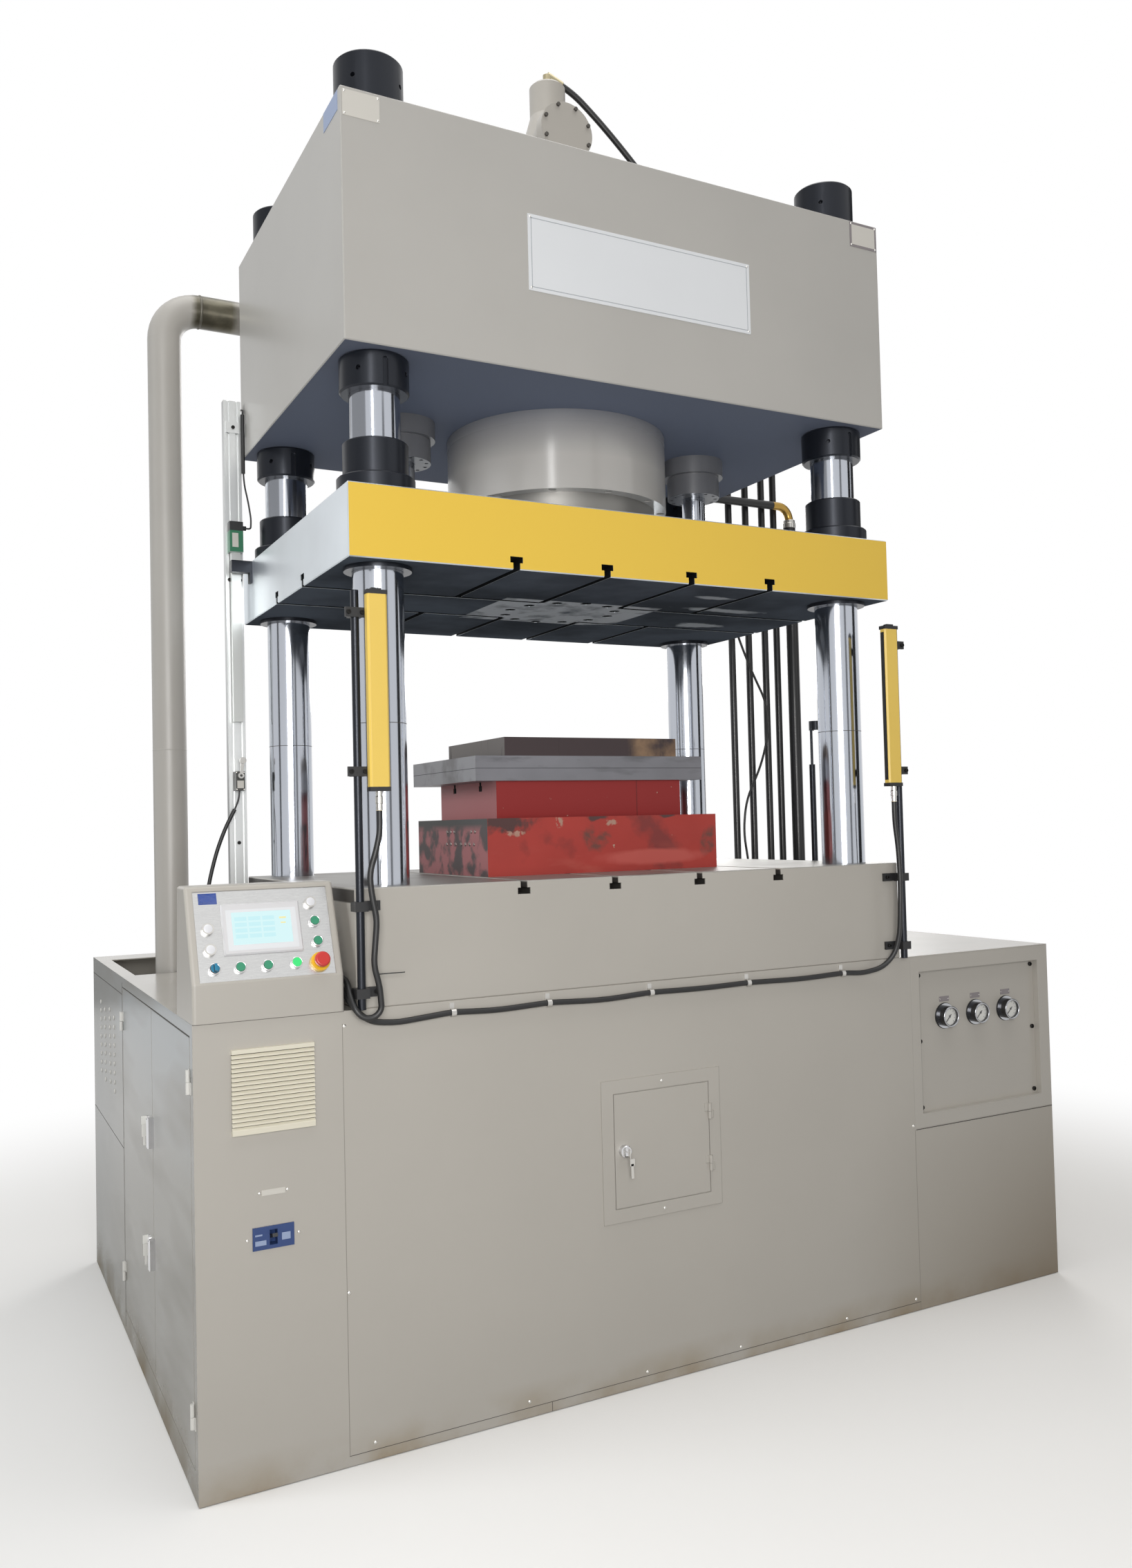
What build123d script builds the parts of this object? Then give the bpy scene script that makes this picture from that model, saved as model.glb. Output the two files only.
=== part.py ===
from build123d import *
import os
from math import cos, hypot, radians, sin, tan

# A four-column hydraulic press in millimetres. The origin is on the floor under the ram's axis,
# +X points to the operator's right, +Y to the back and +Z up.

# Frame: bed, slide and crown share one plan, and their front faces are flush.
press_width = 1900
press_depth = 1200
base_height = 1180
bed_height = 320
open_height = 890
slide_height = 205
crown_gap = 385
crown_height = 700
plate_chamfer = 3
overrun = 20
running_gap = 0.5

# Columns and their nuts.
column_radius = 72.5
column_inset = 125
column_fit = 0.2
column_end = 8
nut_radius = 99
nut_chamfer = 5
top_nut_height = 144
lock_nut_height = 100
tommy_radius = 7
tommy_depth = 18
tommy_count = 4
key_slot_width = 15
key_slot_depth = 6
key_slot_end = 26

# T-slots of bed and slide, and the slide's bolt circle.
slot_pitch = 300
slot_count = 4
slot_neck_width = 22
slot_neck_depth = 20
slot_head_width = 40
slot_head_height = 18
slide_slot_stop = 150
tool_hole_count = 12
tool_pitch_radius = 190
tool_hole_radius = 18.5
tool_hole_depth = 60

# Guide bushes on the slide, and the wiper rings under it.
bush_radius = 93
bush_height = 100
bush_flange_radius = 111
bush_flange_height = 45
bush_chamfer = 4
wiper_radius = 96
wiper_height = 12
slide_bore_gap = 2

# Stand under the bed.
stand_side_inset = 350
stand_plate = 60
stand_end_inset = 70
stand_foot = 30
stand_tie_spread = 620
stand_tie = 40

# Main cylinder, gland and ram.
cylinder_radius = 377.5
cylinder_drop = 255
cylinder_flange_radius = 440
cylinder_flange_height = 50
cylinder_cap = 120
gland_radius = 336
gland_drop = 70
gland_bolt_count = 12
gland_bolt_radius = 13
gland_bolt_depth = 30
ram_radius = 260
ram_length = 705
bore_extra = 14

# Return cylinders and rods, one each side of the main cylinder.
return_spread = 1140
return_flange_radius = 110
return_flange_height = 60
return_gland_radius = 95
return_gland_height = 75
return_barrel_radius = 80
return_barrel_height = 580
return_bore_radius = 60
return_bore_height = 540
return_rod_radius = 42
return_piston_height = 60
return_piston_place = 785
return_bolt_count = 12
return_bolt_radius = 6.5
return_bolt_inset = 14
return_bolt_depth = 25

# Prefill valve on the main cylinder, with its bolted cover and top fitting.
valve_base_radius = 150
valve_base_height = 40
valve_radius = 63
valve_height = 520
valve_branch_level = 295
valve_branch_radius = 82
valve_flare_radius = 95
valve_flare_height = 110
valve_flange_radius = 98
valve_flange_depth = 18
valve_front_reach = 118
valve_rear_reach = 160
cover_depth = 22
cover_bolt_count = 8
cover_bolt_radius = 6.5
cover_bolt_height = 8
cover_bolt_inset = 10
cover_bolt_turn_share = 0.5
elbow_radius = 14
elbow_rise = 44
elbow_slope = 20
elbow_reach = 62

# Suction pipe from the tank to the prefill valve.
suction_radius = 57
suction_wall = 5
suction_bend = 122
suction_inset = 181
suction_behind = 100
suction_rise = 551
suction_flange_radius = 78
suction_flange_depth = 20

# Pressure pipes behind the frame, their port block and the deck socket of the hose.
pipe_radius = 15
pipe_bend = 90
pipe_row_gap = 90
pipe_offsets = (271, 363, 453, 519)
pipe_level_shares = (0.30, 0.42, 0.54, 0.66)
pipe_collar_radius = 24
pipe_collar_height = 34
main_pipe_radius = 18
main_pipe_bend = 60
main_hose_radius = 27
main_hose_drop = 85
main_pipe_offset = 570
main_pipe_gap = 40
main_pipe_rise = 85
port_block_inset = 230
port_block_width = 110
port_block_depth = 115
port_block_margin = 60
socket_radius = 24
socket_height = 65

# Sheet-metal base: left cabinet, right and rear housing, front panel.
cabinet_overhang = 425
housing_overhang = 700
base_depth = 1990
sheet = 4
cabinet_split_behind = 12
tank_height = 900
tank_gap = 8
recess_margin_left = 45
recess_width = 240
recess_front_gap = 30
recess_back_gap = 162

# Cabinet doors in the left wall.
door_bottom = 76
door_top_margin = 36
door_front_margin = 40
door_rear_margin = 12
door_gap = 4
door_rim = 18
door_seat_gap = 0.4
hinge_radius = 5.5
hinge_length = 62
hinge_leaf_width = 16
hinge_leaf = 2
hinge_gap = 0.6
cabinet_hinge_shares = (0.123, 0.897)
handle_width = 15
handle_length = 88
handle_height = 20
handle_inset = 12
handle_shares = (0.338, 0.667)

# Switchgear on the cabinet's inner wall: cells in rows on a steel plate.
gear_plate = 6
gear_margin = 70
gear_row_shares = (0.16, 0.42, 0.68, 0.88)
gear_row_counts = (4, 7, 6, 9)
gear_cell_height = 150
gear_cell_depth = 95
gear_cell_gap = 18

# Pump unit in the right housing.
pump_offset = 360
pump_inset = 170
motor_radius = 170
motor_length = 520
motor_rise = 330
pump_body_radius = 110
pump_body_length = 260
pump_base_width = 420
pump_base_height = 90
pump_base_overhang = 60

# Vent grille in the front panel of the cabinet.
vent_width = 213
vent_height = 215
vent_inset = 199.5
vent_drop = 178.5
vent_border = 11
vent_depth = 12
vent_count = 17
vent_slat = 2.2
vent_slat_width = 15
vent_slat_turn = 52

# Breaker in the front panel.
breaker_width = 106
breaker_height = 57
breaker_inset = 194
breaker_drop = 553
breaker_proud = 3
breaker_depth = 70
breaker_slot_width = 20
breaker_slot_height = 38
breaker_slot_depth = 26
toggle_width = 13
toggle_thickness = 9
toggle_reach = 30
toggle_pivot_depth = 12
toggle_pin_radius = 2.5
toggle_tilt = 18

# Access door and its frame on the front panel.
access_x = -10
access_drop = 486
access_width = 332
access_height = 332
access_gap = 2
access_border = 40
access_plate = 3
access_lip = 10
access_hinge_shares = (0.262, 0.735)
access_hinge_length = 46
lock_radius = 17
lock_height = 16
lock_inset = 30

# Gauge frame and panel at the right of the front, and three pressure gauges.
gauge_frame_inset = 43
gauge_frame_drop = 580
gauge_border_left = 38
gauge_border_right = 50
gauge_border_bottom = 47
gauge_border_top = 55
gauge_frame_depth = 22
gauge_panel_lip = 12
gauge_panel_sheet = 3
gauge_offsets = (170, 316, 463)
gauge_drop = 217
gauge_flange_radius = 43
gauge_flange_depth = 5
gauge_case_radius = 35
gauge_case_depth = 32
gauge_dial_radius = 30
gauge_dial_depth = 9
gauge_pin_radius = 1.4
gauge_pin_height = 6
needle_hub_radius = 4
needle_length = 23
needle_tail = 9
needle_width = 2.4
needle_depth = 1.5
needle_lift = 2
needle_start = 225

# Console on the cabinet: a folded box with a tilted, recessed face.
console_width = 390
console_front_proud = 6
console_strip = 98
console_height = 340
console_slope_back = 94
console_top_depth = 100
console_back_lean = 27
console_wall = 4
console_edge = 9
face_width = 350
face_height = 240
face_sheet = 3
face_recess = 6
face_start = 5
face_fit = 0.3

# Operators on the face: places are shares of its width from the middle and of its height from below.
collar_radius = 14.8
collar_height = 10
collar_wall = 3.2
button_height = 12
button_lift = 4.5
button_place_shares = ((0.380, 0.60), (0.386, 0.371), (-0.206, 0.1375), (-0.006, 0.1375), (0.209, 0.146))
lamp_place_shares = ((-0.414, 0.575), (-0.409, 0.346), (0.363, 0.817))
lamp_height = 12
selector_place_shares = (-0.391, 0.1375)
selector_height = 9
selector_grip_height = 12
selector_grip_width = 7
stop_place_shares = (0.386, 0.135)
stop_base_radius = 25
stop_base_height = 11
stop_stem_radius = 12
stop_stem_lift = 7
stop_head_radius = 20
stop_head_height = 17
stop_head_lift = 19
stop_head_edge = 5
screen_place_shares = (-0.019, 0.56)
screen_width = 204
screen_height = 136
screen_depth = 8
screen_edge = 3

# Light curtain: bars, poles and clamps at the front corners, and a short third pole at the right side.
bar_width = 56
bar_depth = 28
bar_length = 534
bar_rise = 257
bar_inset = 55
bar_chamfer = 5
bar_pole_gap = 3
plug_radius = 8.5
plug_length = 52
pole_radius = 11
pole_inset = 6
pole_stand_off = 15
pole_rise = 2
pole_end = 2
clamp_height = 26
clamp_wall = 4
clamp_saddle_width = 36
clamp_foot_inner = 62
clamp_foot_outer = 12
clamp_foot = 8
clamp_fit = 0.2
bed_clamp_shares = (0.14, 0.853)
bar_clamp_shares = (0.099, 0.891)
bar_clamp_reach = 43
bar_clamp_ear = 30
side_pole_y = -138
side_pole_rise = 20
side_pole_height = 357
side_rod_radius = 5
side_rod_height = 162
side_clip_radius = 26
side_clip_wall = 6
side_clip_height = 34

# Measuring rail beside the slide, its transducer, and the limit switch with a roller lever.
rail_width = 60
rail_depth = 30
rail_gap = 14
rail_inset = 40
rail_rise = 190
rail_groove_width = 9
rail_groove_depth = 7
rail_bracket_rise = 95
rail_bracket_height = 38
transducer_width = 32
transducer_depth = 28
transducer_drop = 351
transducer_length = 590
transducer_head_width = 46
transducer_head_depth = 40
transducer_head_height = 106
transducer_gland_radius = 8
transducer_gland_reach = 14
transducer_gland_drop = 18
switch_width = 30
switch_depth = 42
switch_rise = 300
switch_height = 66
switch_boss_radius = 13
switch_boss_depth = 8
lever_length = 52
lever_width = 11
lever_depth = 5
lever_hub_radius = 10
lever_roller_radius = 11
lever_roller_depth = 9
lever_shaft_radius = 4
lever_tilt = 96
magnet_depth = 30
magnet_height = 40
magnet_reach = 70
magnet_gap = 4
magnet_plate = 8
magnet_foot = 75

# Cables and clips. Routes are points chosen by hand along the poles, the clips and the rail.
cable_radius = 8
thin_cable_radius = 5
lead_radius = 3
sleeve_radius = 6.5
clip_wall = 2.5
clip_fit = 0.3
clip_width = 14
clip_tab_height = 26
clip_drop = 31
clip_place_shares = (0.142, 0.297, 0.477, 0.664, 0.863)
clip_droops = (5, 3, 8, 6, 12)
clip_droop_reach = 165
cable_gap_middle = 17
bend_share = 0.45
hose_radius = 11
hose_start_run = 50
hose_points = ((168, 83), (231, 132), (300, 191), (371, 256), (466, 345), (529, 422))
hose_end_reach = 558
hose_end_run = 55

# Cable points: how far out from a side, in front of a face, and below a plug or above the base.
right_high_points = ((0, 0, 67), (11, 2, 162), (13, 3, 272))
right_low_points = ((9, 57, 160), (7, 52, 82), (-5, 40, 20), (-45, 26, -22), (-115, 12, -37))
right_end_points = ((-35, 11, -34), (5, 18, -4), (22, 0, 26), (22, -40, 44))
left_high_points = ((0, 0, 55), (12, 1, 105), (32, 2, 165), (26, 2, 225), (14, 3, 285))
left_low_points = (
    (-37, 56, 190),
    (-30, 56, 120),
    (-46, 54, 65),
    (-52, 50, 2),
    (-33, 48, -18),
    (-5, 45, -18),
    (15, 40, 2),
    (22, 12, 42),
)
right_gap_points = ((-95, 56), (-134, 48), (-150, 28), (-150, 0))
left_gap_points = ((-28, 74), (-120, 84), (-200, 72), (-226, 42), (-226, 0))
pipe_cable_points = (
    (312, 55, 0),
    (312, 55, 140),
    (302, 55, 290),
    (280, 55, 420),
    (298, 55, 560),
    (390, 55, 725),
    (435, 55, 880),
    (422, 55, 1000),
    (340, 55, 1150),
    (282, 55, 1280),
)
pipe_cable_high_points = ((230, 52, 380), (130, 35, 240), (30, 5, 140), (-20, -20, 70), (-20, -20, 0))
switch_cable_points = (
    (0, -25, 0),
    (-3, -25, -30),
    (-18, -26, -65),
    (-50, -29, -125),
    (-80, -32, -200),
    (-104, -35, -285),
    (-122, -38, -375),
    (-132, -40, -480),
)
switch_cable_end = (-132, -40)
sleeve_start = 2
gland_points = ((-10, -20, 0), (-12, -19, 35), (-3, -17, 98), (8, -15, 150), (11.5, -15, 195))
bracket_points = ((11.5, -15, 45), (7, -4, 65), (6, 30, 77), (13, 41, 68), (35, 34, 30))

# Press tool on the bed: two blocks, two plates and a top plate.
lower_block = (850, 590, 180)
upper_block = (694, 468, 120)
upper_block_shift = 37
tool_plate = (850, 550, 40)
tool_plate_shift = 60
tool_plate_count = 2
top_plate = (646, 466, 60)
top_plate_shift = 18
tool_slot_spacing = 217
tool_slot_neck_width = 16
tool_slot_neck_depth = 12
tool_slot_head_width = 26
tool_slot_head_height = 18

# Levels and faces worked out from the sizes above.
half_width = press_width / 2
front = -press_depth / 2
back = press_depth / 2
bed_top = base_height + bed_height
slide_bottom = bed_top + open_height
slide_top = slide_bottom + slide_height
crown_bottom = slide_top + crown_gap
crown_top = crown_bottom + crown_height
cylinder_bottom = crown_bottom - cylinder_drop
cabinet_left = -half_width - cabinet_overhang
housing_right = half_width + housing_overhang
base_back = front + base_depth
suction_x = cabinet_left + suction_inset
suction_y = back + suction_behind
suction_level = crown_bottom + suction_rise
pipe_places = [half_width + offset for offset in pipe_offsets]
main_pipe_x = half_width + main_pipe_offset
port_block_right = half_width - port_block_inset
cabinet_split = back + cabinet_split_behind
recess_front = back + recess_front_gap
recess_back = base_back - recess_back_gap
door_top = base_height - door_top_margin
door_front_edge = front + door_front_margin
door_rear_edge = cabinet_split - door_rear_margin
door_meeting = (door_front_edge + door_rear_edge) / 2
cabinet_hinge_levels = [door_bottom + share * (door_top - door_bottom) for share in cabinet_hinge_shares]
handle_levels = [door_bottom + share * (door_top - door_bottom) for share in handle_shares]
pump_x = half_width + pump_offset
pump_y = back - pump_inset
vent_x = cabinet_left + vent_inset
vent_level = base_height - vent_drop
breaker_x = cabinet_left + breaker_inset
breaker_level = base_height - breaker_drop
access_level = base_height - access_drop
access_bottom = access_level - access_height / 2
access_hinge_levels = [access_bottom + share * access_height for share in access_hinge_shares]
gauge_frame_left = half_width + gauge_frame_inset
gauge_frame_bottom = base_height - gauge_frame_drop
gauge_places = [gauge_frame_left + offset for offset in gauge_offsets]
gauge_level = base_height - gauge_drop
bar_bottom = bed_top + bar_rise
bar_top = bar_bottom + bar_length
pole_bottom = base_height + pole_rise
pole_top = bar_top + pole_end
bed_clamp_levels = [base_height + share * bed_height for share in bed_clamp_shares]
bar_clamp_levels = [bar_bottom + share * bar_length for share in bar_clamp_shares]
side_pole_bottom = base_height + side_pole_rise
side_pole_top = bed_top + side_pole_height
side_rod_top = side_pole_top + side_rod_height
rail_y = back - rail_inset
rail_top = crown_bottom + rail_rise
rail_bracket_level = crown_bottom + rail_bracket_rise
transducer_bottom = slide_bottom - transducer_drop
transducer_top = transducer_bottom + transducer_length
switch_bottom = bed_top + switch_rise
clip_level = base_height - clip_drop
column_x = half_width - column_inset
column_y = back - column_inset
stand_spread = press_width - 2 * stand_side_inset
stand_depth = press_depth - 2 * stand_end_inset
column_places = [
    (side_x * column_x, side_y * column_y)
    for side_x in (-1, 1)
    for side_y in (-1, 1)
]
slot_places = [(index - (slot_count - 1) / 2) * slot_pitch for index in range(slot_count)]

os.makedirs("parts", exist_ok=True)


def block(x0, x1, y0, y1, z0, z1):
    """A box between two opposite corners."""
    return Pos((x0 + x1) / 2, (y0 + y1) / 2, (z0 + z1) / 2) * Box(x1 - x0, y1 - y0, z1 - z0)


def post(x, y, z0, z1, radius):
    """An upright round bar."""
    return Pos(x, y, (z0 + z1) / 2) * Cylinder(radius, z1 - z0)


def rod_x(y, z, x0, x1, radius):
    """A round bar along X."""
    return Pos((x0 + x1) / 2, y, z) * Rot(0, 90, 0) * Cylinder(radius, x1 - x0)


def rod_y(x, z, y0, y1, radius):
    """A round bar along Y."""
    return Pos(x, (y0 + y1) / 2, z) * Rot(90, 0, 0) * Cylinder(radius, y1 - y0)


def ring_of(count, radius, shape):
    """Copies of a shape on a circle about Z, with the first on +X."""
    return [Rot(0, 0, index * 360 / count) * Pos(radius, 0, 0) * shape for index in range(count)]


def t_slot(length, neck_width, neck_depth, head_width, head_height):
    """A T-slot cutter along Y that opens upwards at height zero."""
    neck = block(-neck_width / 2, neck_width / 2, -length / 2, length / 2, -neck_depth, overrun)
    head_bottom = -neck_depth - head_height
    head = block(-head_width / 2, head_width / 2, -length / 2, length / 2, head_bottom, -neck_depth)
    return neck + head


def frame_slot(length):
    """The T-slot cutter that bed and slide share."""
    return t_slot(length, slot_neck_width, slot_neck_depth, slot_head_width, slot_head_height)


def column_holes(gap, z0, z1):
    """Four cutters around the columns."""
    return [post(x, y, z0 - overrun, z1 + overrun, column_radius + gap) for x, y in column_places]


def pipe(points, bend, radius):
    """A round bar along straight runs joined by arcs of one bend radius."""
    path = FilletPolyline(*points, radius=bend)
    return sweep(Plane(origin=path @ 0, z_dir=path % 0) * Circle(radius), path=path)


def cable(name, points, radius):
    """A round bar along a hand-chosen route whose arcs are as large as their runs allow."""
    corners = [Vector(*point) for point in points]
    runs = [end - start for start, end in zip(corners, corners[1:])]
    radii = []
    for before, after in zip(runs, runs[1:]):
        half_turn = radians(before.get_angle(after)) / 2
        radii.append(bend_share * min(before.length, after.length) / tan(half_turn))
    path = FilletPolyline(*points, radius=radii)
    print(name, "length", round(path.length), "radii", [round(value) for value in radii])
    return sweep(Plane(origin=path @ 0, z_dir=path % 0) * Circle(radius), path=path)


def save(name, *pieces):
    """One node: a single solid, or a group of separate solids."""
    solids = [solid for piece in pieces for solid in piece.solids()]
    shape = solids[0] if len(solids) == 1 else Compound(solids)
    export_step(shape, f"parts/{name}.step")


# Bed: a thick steel plate with four T-slots and the column holes.
bed = block(-half_width, half_width, front, back, base_height, bed_top)
bed = chamfer(bed.edges(), plate_chamfer)
bed -= [Pos(x, 0, bed_top) * frame_slot(press_depth + overrun) for x in slot_places]
bed -= column_holes(column_fit, base_height, bed_top)
save("bed", bed)

# Stand: two upright plates on a foot plate, tied front and back.
stand = block(-stand_spread / 2, stand_spread / 2, -stand_depth / 2, stand_depth / 2, 0, stand_foot)
for side in (-1, 1):
    plate_x = side * (stand_spread - stand_plate) / 2
    stand += block(
        plate_x - stand_plate / 2,
        plate_x + stand_plate / 2,
        -stand_depth / 2,
        stand_depth / 2,
        0,
        base_height,
    )
    tie_y = side * stand_tie_spread / 2
    stand += block(
        -stand_spread / 2,
        stand_spread / 2,
        tie_y - stand_tie / 2,
        tie_y + stand_tie / 2,
        base_height - bed_height,
        base_height,
    )
save("bed_stand", stand)

# Columns, held by nuts under the bed, under the crown and on the crown.
column_bottom = base_height - lock_nut_height - column_end
column_top = crown_top + top_nut_height + column_end
save("columns", *[post(x, y, column_bottom, column_top, column_radius) for x, y in column_places])


def nut(height):
    """A round nut with tommy-bar holes, centred on the origin."""
    body = Cylinder(nut_radius, height)
    body = chamfer(body.edges().filter_by(GeomType.CIRCLE), nut_chamfer)
    body -= Cylinder(column_radius + column_fit, height + overrun)
    hole = Rot(0, 90, 0) * Cylinder(tommy_radius, 2 * tommy_depth)
    return body - [Rot(0, 0, 360 / tommy_count / 2) * cut for cut in ring_of(tommy_count, nut_radius, hole)]


top_nut = nut(top_nut_height)
lock_nut = nut(lock_nut_height)
key_slot_top = lock_nut_height / 2 - key_slot_end
key_slot = block(
    -key_slot_width / 2,
    key_slot_width / 2,
    -nut_radius - overrun,
    -nut_radius + key_slot_depth,
    -lock_nut_height,
    key_slot_top,
)
key_slot += rod_y(0, key_slot_top, -nut_radius - overrun, -nut_radius + key_slot_depth, key_slot_width / 2)
key_nut = lock_nut - key_slot
nuts = []
for x, y in column_places:
    nuts.append(Pos(x, y, crown_top + top_nut_height / 2) * top_nut)
    nuts.append(Pos(x, y, crown_bottom - lock_nut_height / 2) * key_nut)
    nuts.append(Pos(x, y, base_height - lock_nut_height / 2) * lock_nut)
save("column_nuts", *nuts)

# Crown: a heavy block bored for the columns and the cylinders.
crown = block(-half_width, half_width, front, back, crown_bottom, crown_top)
crown = chamfer(crown.edges(), plate_chamfer)
crown -= column_holes(column_fit, crown_bottom, crown_top)
crown -= post(0, 0, crown_bottom - overrun, crown_top + overrun, cylinder_radius + column_fit)
for side in (-1, 1):
    crown -= post(
        side * return_spread / 2,
        0,
        crown_bottom - overrun,
        crown_bottom + return_barrel_height + column_fit,
        return_barrel_radius + column_fit,
    )
save("crown", crown)

# Main cylinder: it hangs in the crown by a flange on the deck.
deck_top = crown_top + cylinder_flange_height
cylinder = post(0, 0, cylinder_bottom, deck_top, cylinder_radius)
cylinder += post(0, 0, crown_top, deck_top, cylinder_flange_radius)
cylinder -= post(0, 0, cylinder_bottom - overrun, deck_top - cylinder_cap, ram_radius + bore_extra)
gland_bolt = post(0, 0, cylinder_bottom - overrun, cylinder_bottom + gland_bolt_depth, gland_bolt_radius)
cylinder -= ring_of(gland_bolt_count, (cylinder_radius + gland_radius) / 2, gland_bolt)
save("main_cylinder", cylinder)

# Gland ring under the cylinder that guides the ram.
gland_bottom = cylinder_bottom - gland_drop
gland = post(0, 0, gland_bottom, cylinder_bottom, gland_radius)
gland -= post(0, 0, gland_bottom - overrun, cylinder_bottom + overrun, ram_radius + running_gap)
save("cylinder_gland", gland)

# Ram: a plunger bolted to the slide.
save("main_ram", post(0, 0, slide_top, slide_top + ram_length, ram_radius))

# Return cylinders: a barrel in the crown, a flange under it and a bolted gland.
return_gland_top = crown_bottom - return_flange_height
return_bottom = return_gland_top - return_gland_height
returns = []
rods = []
for side in (-1, 1):
    x = side * return_spread / 2
    body = post(x, 0, return_gland_top, crown_bottom, return_flange_radius)
    body += post(x, 0, crown_bottom, crown_bottom + return_barrel_height, return_barrel_radius)
    body += post(x, 0, return_bottom, return_gland_top, return_gland_radius)
    body -= post(x, 0, return_gland_top, crown_bottom + return_bore_height, return_bore_radius)
    body -= post(x, 0, return_bottom - overrun, return_gland_top + overrun, return_rod_radius + running_gap)
    bolt_hole = post(0, 0, return_bottom - overrun, return_bottom + return_bolt_depth, return_bolt_radius)
    bolt_circle = return_gland_radius - return_bolt_inset
    body -= [Pos(x, 0, 0) * cut for cut in ring_of(return_bolt_count, bolt_circle, bolt_hole)]
    returns.append(body)
    piston_bottom = slide_top + return_piston_place
    rod = post(x, 0, slide_top, piston_bottom, return_rod_radius)
    rod += post(
        x, 0, piston_bottom, piston_bottom + return_piston_height, return_bore_radius - running_gap
    )
    rods.append(rod)
save("return_cylinders", *returns)
save("return_rods", *rods)

# Slide: a plate with T-slots from its four sides, a bolt circle and clear holes for the columns.
slide = block(-half_width, half_width, front, back, slide_bottom, slide_top)
slide = chamfer(slide.edges(), plate_chamfer)
slide -= column_holes(slide_bore_gap, slide_bottom, slide_top)
front_slot_length = back - slide_slot_stop + overrun
side_slot_length = half_width - slide_slot_stop + overrun
for side in (-1, 1):
    middle_y = side * (slide_slot_stop + front_slot_length / 2)
    middle_x = side * (slide_slot_stop + side_slot_length / 2)
    for x in slot_places:
        slide -= Pos(x, middle_y, slide_bottom) * Rot(180, 0, 0) * frame_slot(front_slot_length)
    for y in (-slide_slot_stop, slide_slot_stop):
        slide -= Pos(middle_x, y, slide_bottom) * Rot(180, 0, 90) * frame_slot(side_slot_length)
tool_hole = post(0, 0, slide_bottom - overrun, slide_bottom + tool_hole_depth, tool_hole_radius)
slide -= ring_of(tool_hole_count, tool_pitch_radius, tool_hole)
save("slide", slide)

# Guide bushes on the slide and wiper rings under it run on the columns.
bush = Pos(0, 0, slide_top + bush_flange_height + bush_height / 2) * Cylinder(bush_radius, bush_height)
bush = chamfer(bush.edges().group_by(Axis.Z)[-1], bush_chamfer)
flange = Pos(0, 0, slide_top + bush_flange_height / 2) * Cylinder(bush_flange_radius, bush_flange_height)
bush += chamfer(flange.edges().group_by(Axis.Z)[-1], bush_chamfer)
bush_top = slide_top + bush_flange_height + bush_height
bush -= post(0, 0, slide_top - overrun, bush_top + overrun, column_radius + running_gap)
wiper = post(0, 0, slide_bottom - wiper_height, slide_bottom, wiper_radius)
wiper_bore = column_radius + running_gap
wiper -= post(0, 0, slide_bottom - wiper_height - overrun, slide_bottom + overrun, wiper_bore)
save("guide_bushes", *[Pos(x, y, 0) * piece for x, y in column_places for piece in (bush, wiper)])

# Prefill valve: a cast body on the cylinder with a branch to the front and to the back.
valve_bottom = deck_top
valve_top = valve_bottom + valve_height
branch_z = valve_bottom + valve_branch_level
valve = post(0, 0, valve_bottom, valve_bottom + valve_base_height, valve_base_radius)
valve += post(0, 0, valve_bottom, valve_top, valve_radius)
valve = chamfer(valve.edges().group_by(Axis.Z)[-1], valve_flange_depth / 2)
flare_bottom = valve_bottom + valve_base_height
flare_top = branch_z + valve_flare_height
valve += post(0, 0, flare_bottom, branch_z, valve_flare_radius)
valve += Pos(0, 0, (branch_z + flare_top) / 2) * Cone(valve_flare_radius, valve_radius, valve_flare_height)
valve += rod_y(0, branch_z, -valve_front_reach, valve_rear_reach, valve_branch_radius)
valve += rod_y(0, branch_z, -valve_front_reach, -valve_front_reach + valve_flange_depth, valve_flange_radius)
valve += rod_y(0, branch_z, valve_rear_reach - valve_flange_depth, valve_rear_reach, valve_flange_radius)
elbow_z = valve_top + elbow_rise
valve += post(0, 0, valve_top - valve_flange_depth, elbow_z, elbow_radius)
elbow_arm = Pos(0, 0, elbow_reach / 2) * Cylinder(elbow_radius, elbow_reach)
valve += Pos(0, 0, elbow_z) * Rot(0, 90 + elbow_slope, 0) * elbow_arm
save("prefill_valve", valve)

cover_front = -valve_front_reach - cover_depth
cover = rod_y(0, branch_z, cover_front, -valve_front_reach, valve_flange_radius)
for index in range(cover_bolt_count):
    bolt_turn = (index + cover_bolt_turn_share) * 360 / cover_bolt_count
    spot = Rot(0, bolt_turn, 0) * Pos(valve_flange_radius - cover_bolt_inset, 0, 0)
    head = rod_y(0, 0, cover_front - cover_bolt_height, cover_front, cover_bolt_radius)
    cover += Pos(0, 0, branch_z) * spot * head
save("prefill_cover", cover)

# Suction pipe: up from the tank, along behind the crown, up again and into the valve's back flange.
tank_top = tank_height
suction_end = valve_rear_reach
suction_route = (
    (suction_x, suction_y, tank_top),
    (suction_x, suction_y, suction_level),
    (0, suction_y, suction_level),
    (0, suction_y, branch_z),
    (0, suction_end, branch_z),
)
suction = pipe(suction_route, suction_bend, suction_radius)
suction += post(suction_x, suction_y, tank_top, tank_top + suction_flange_depth, suction_flange_radius)
suction += rod_y(0, branch_z, suction_end, suction_end + suction_flange_depth, suction_flange_radius)
suction -= pipe(suction_route, suction_bend, suction_radius - suction_wall)
save("suction_pipe", suction)

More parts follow.
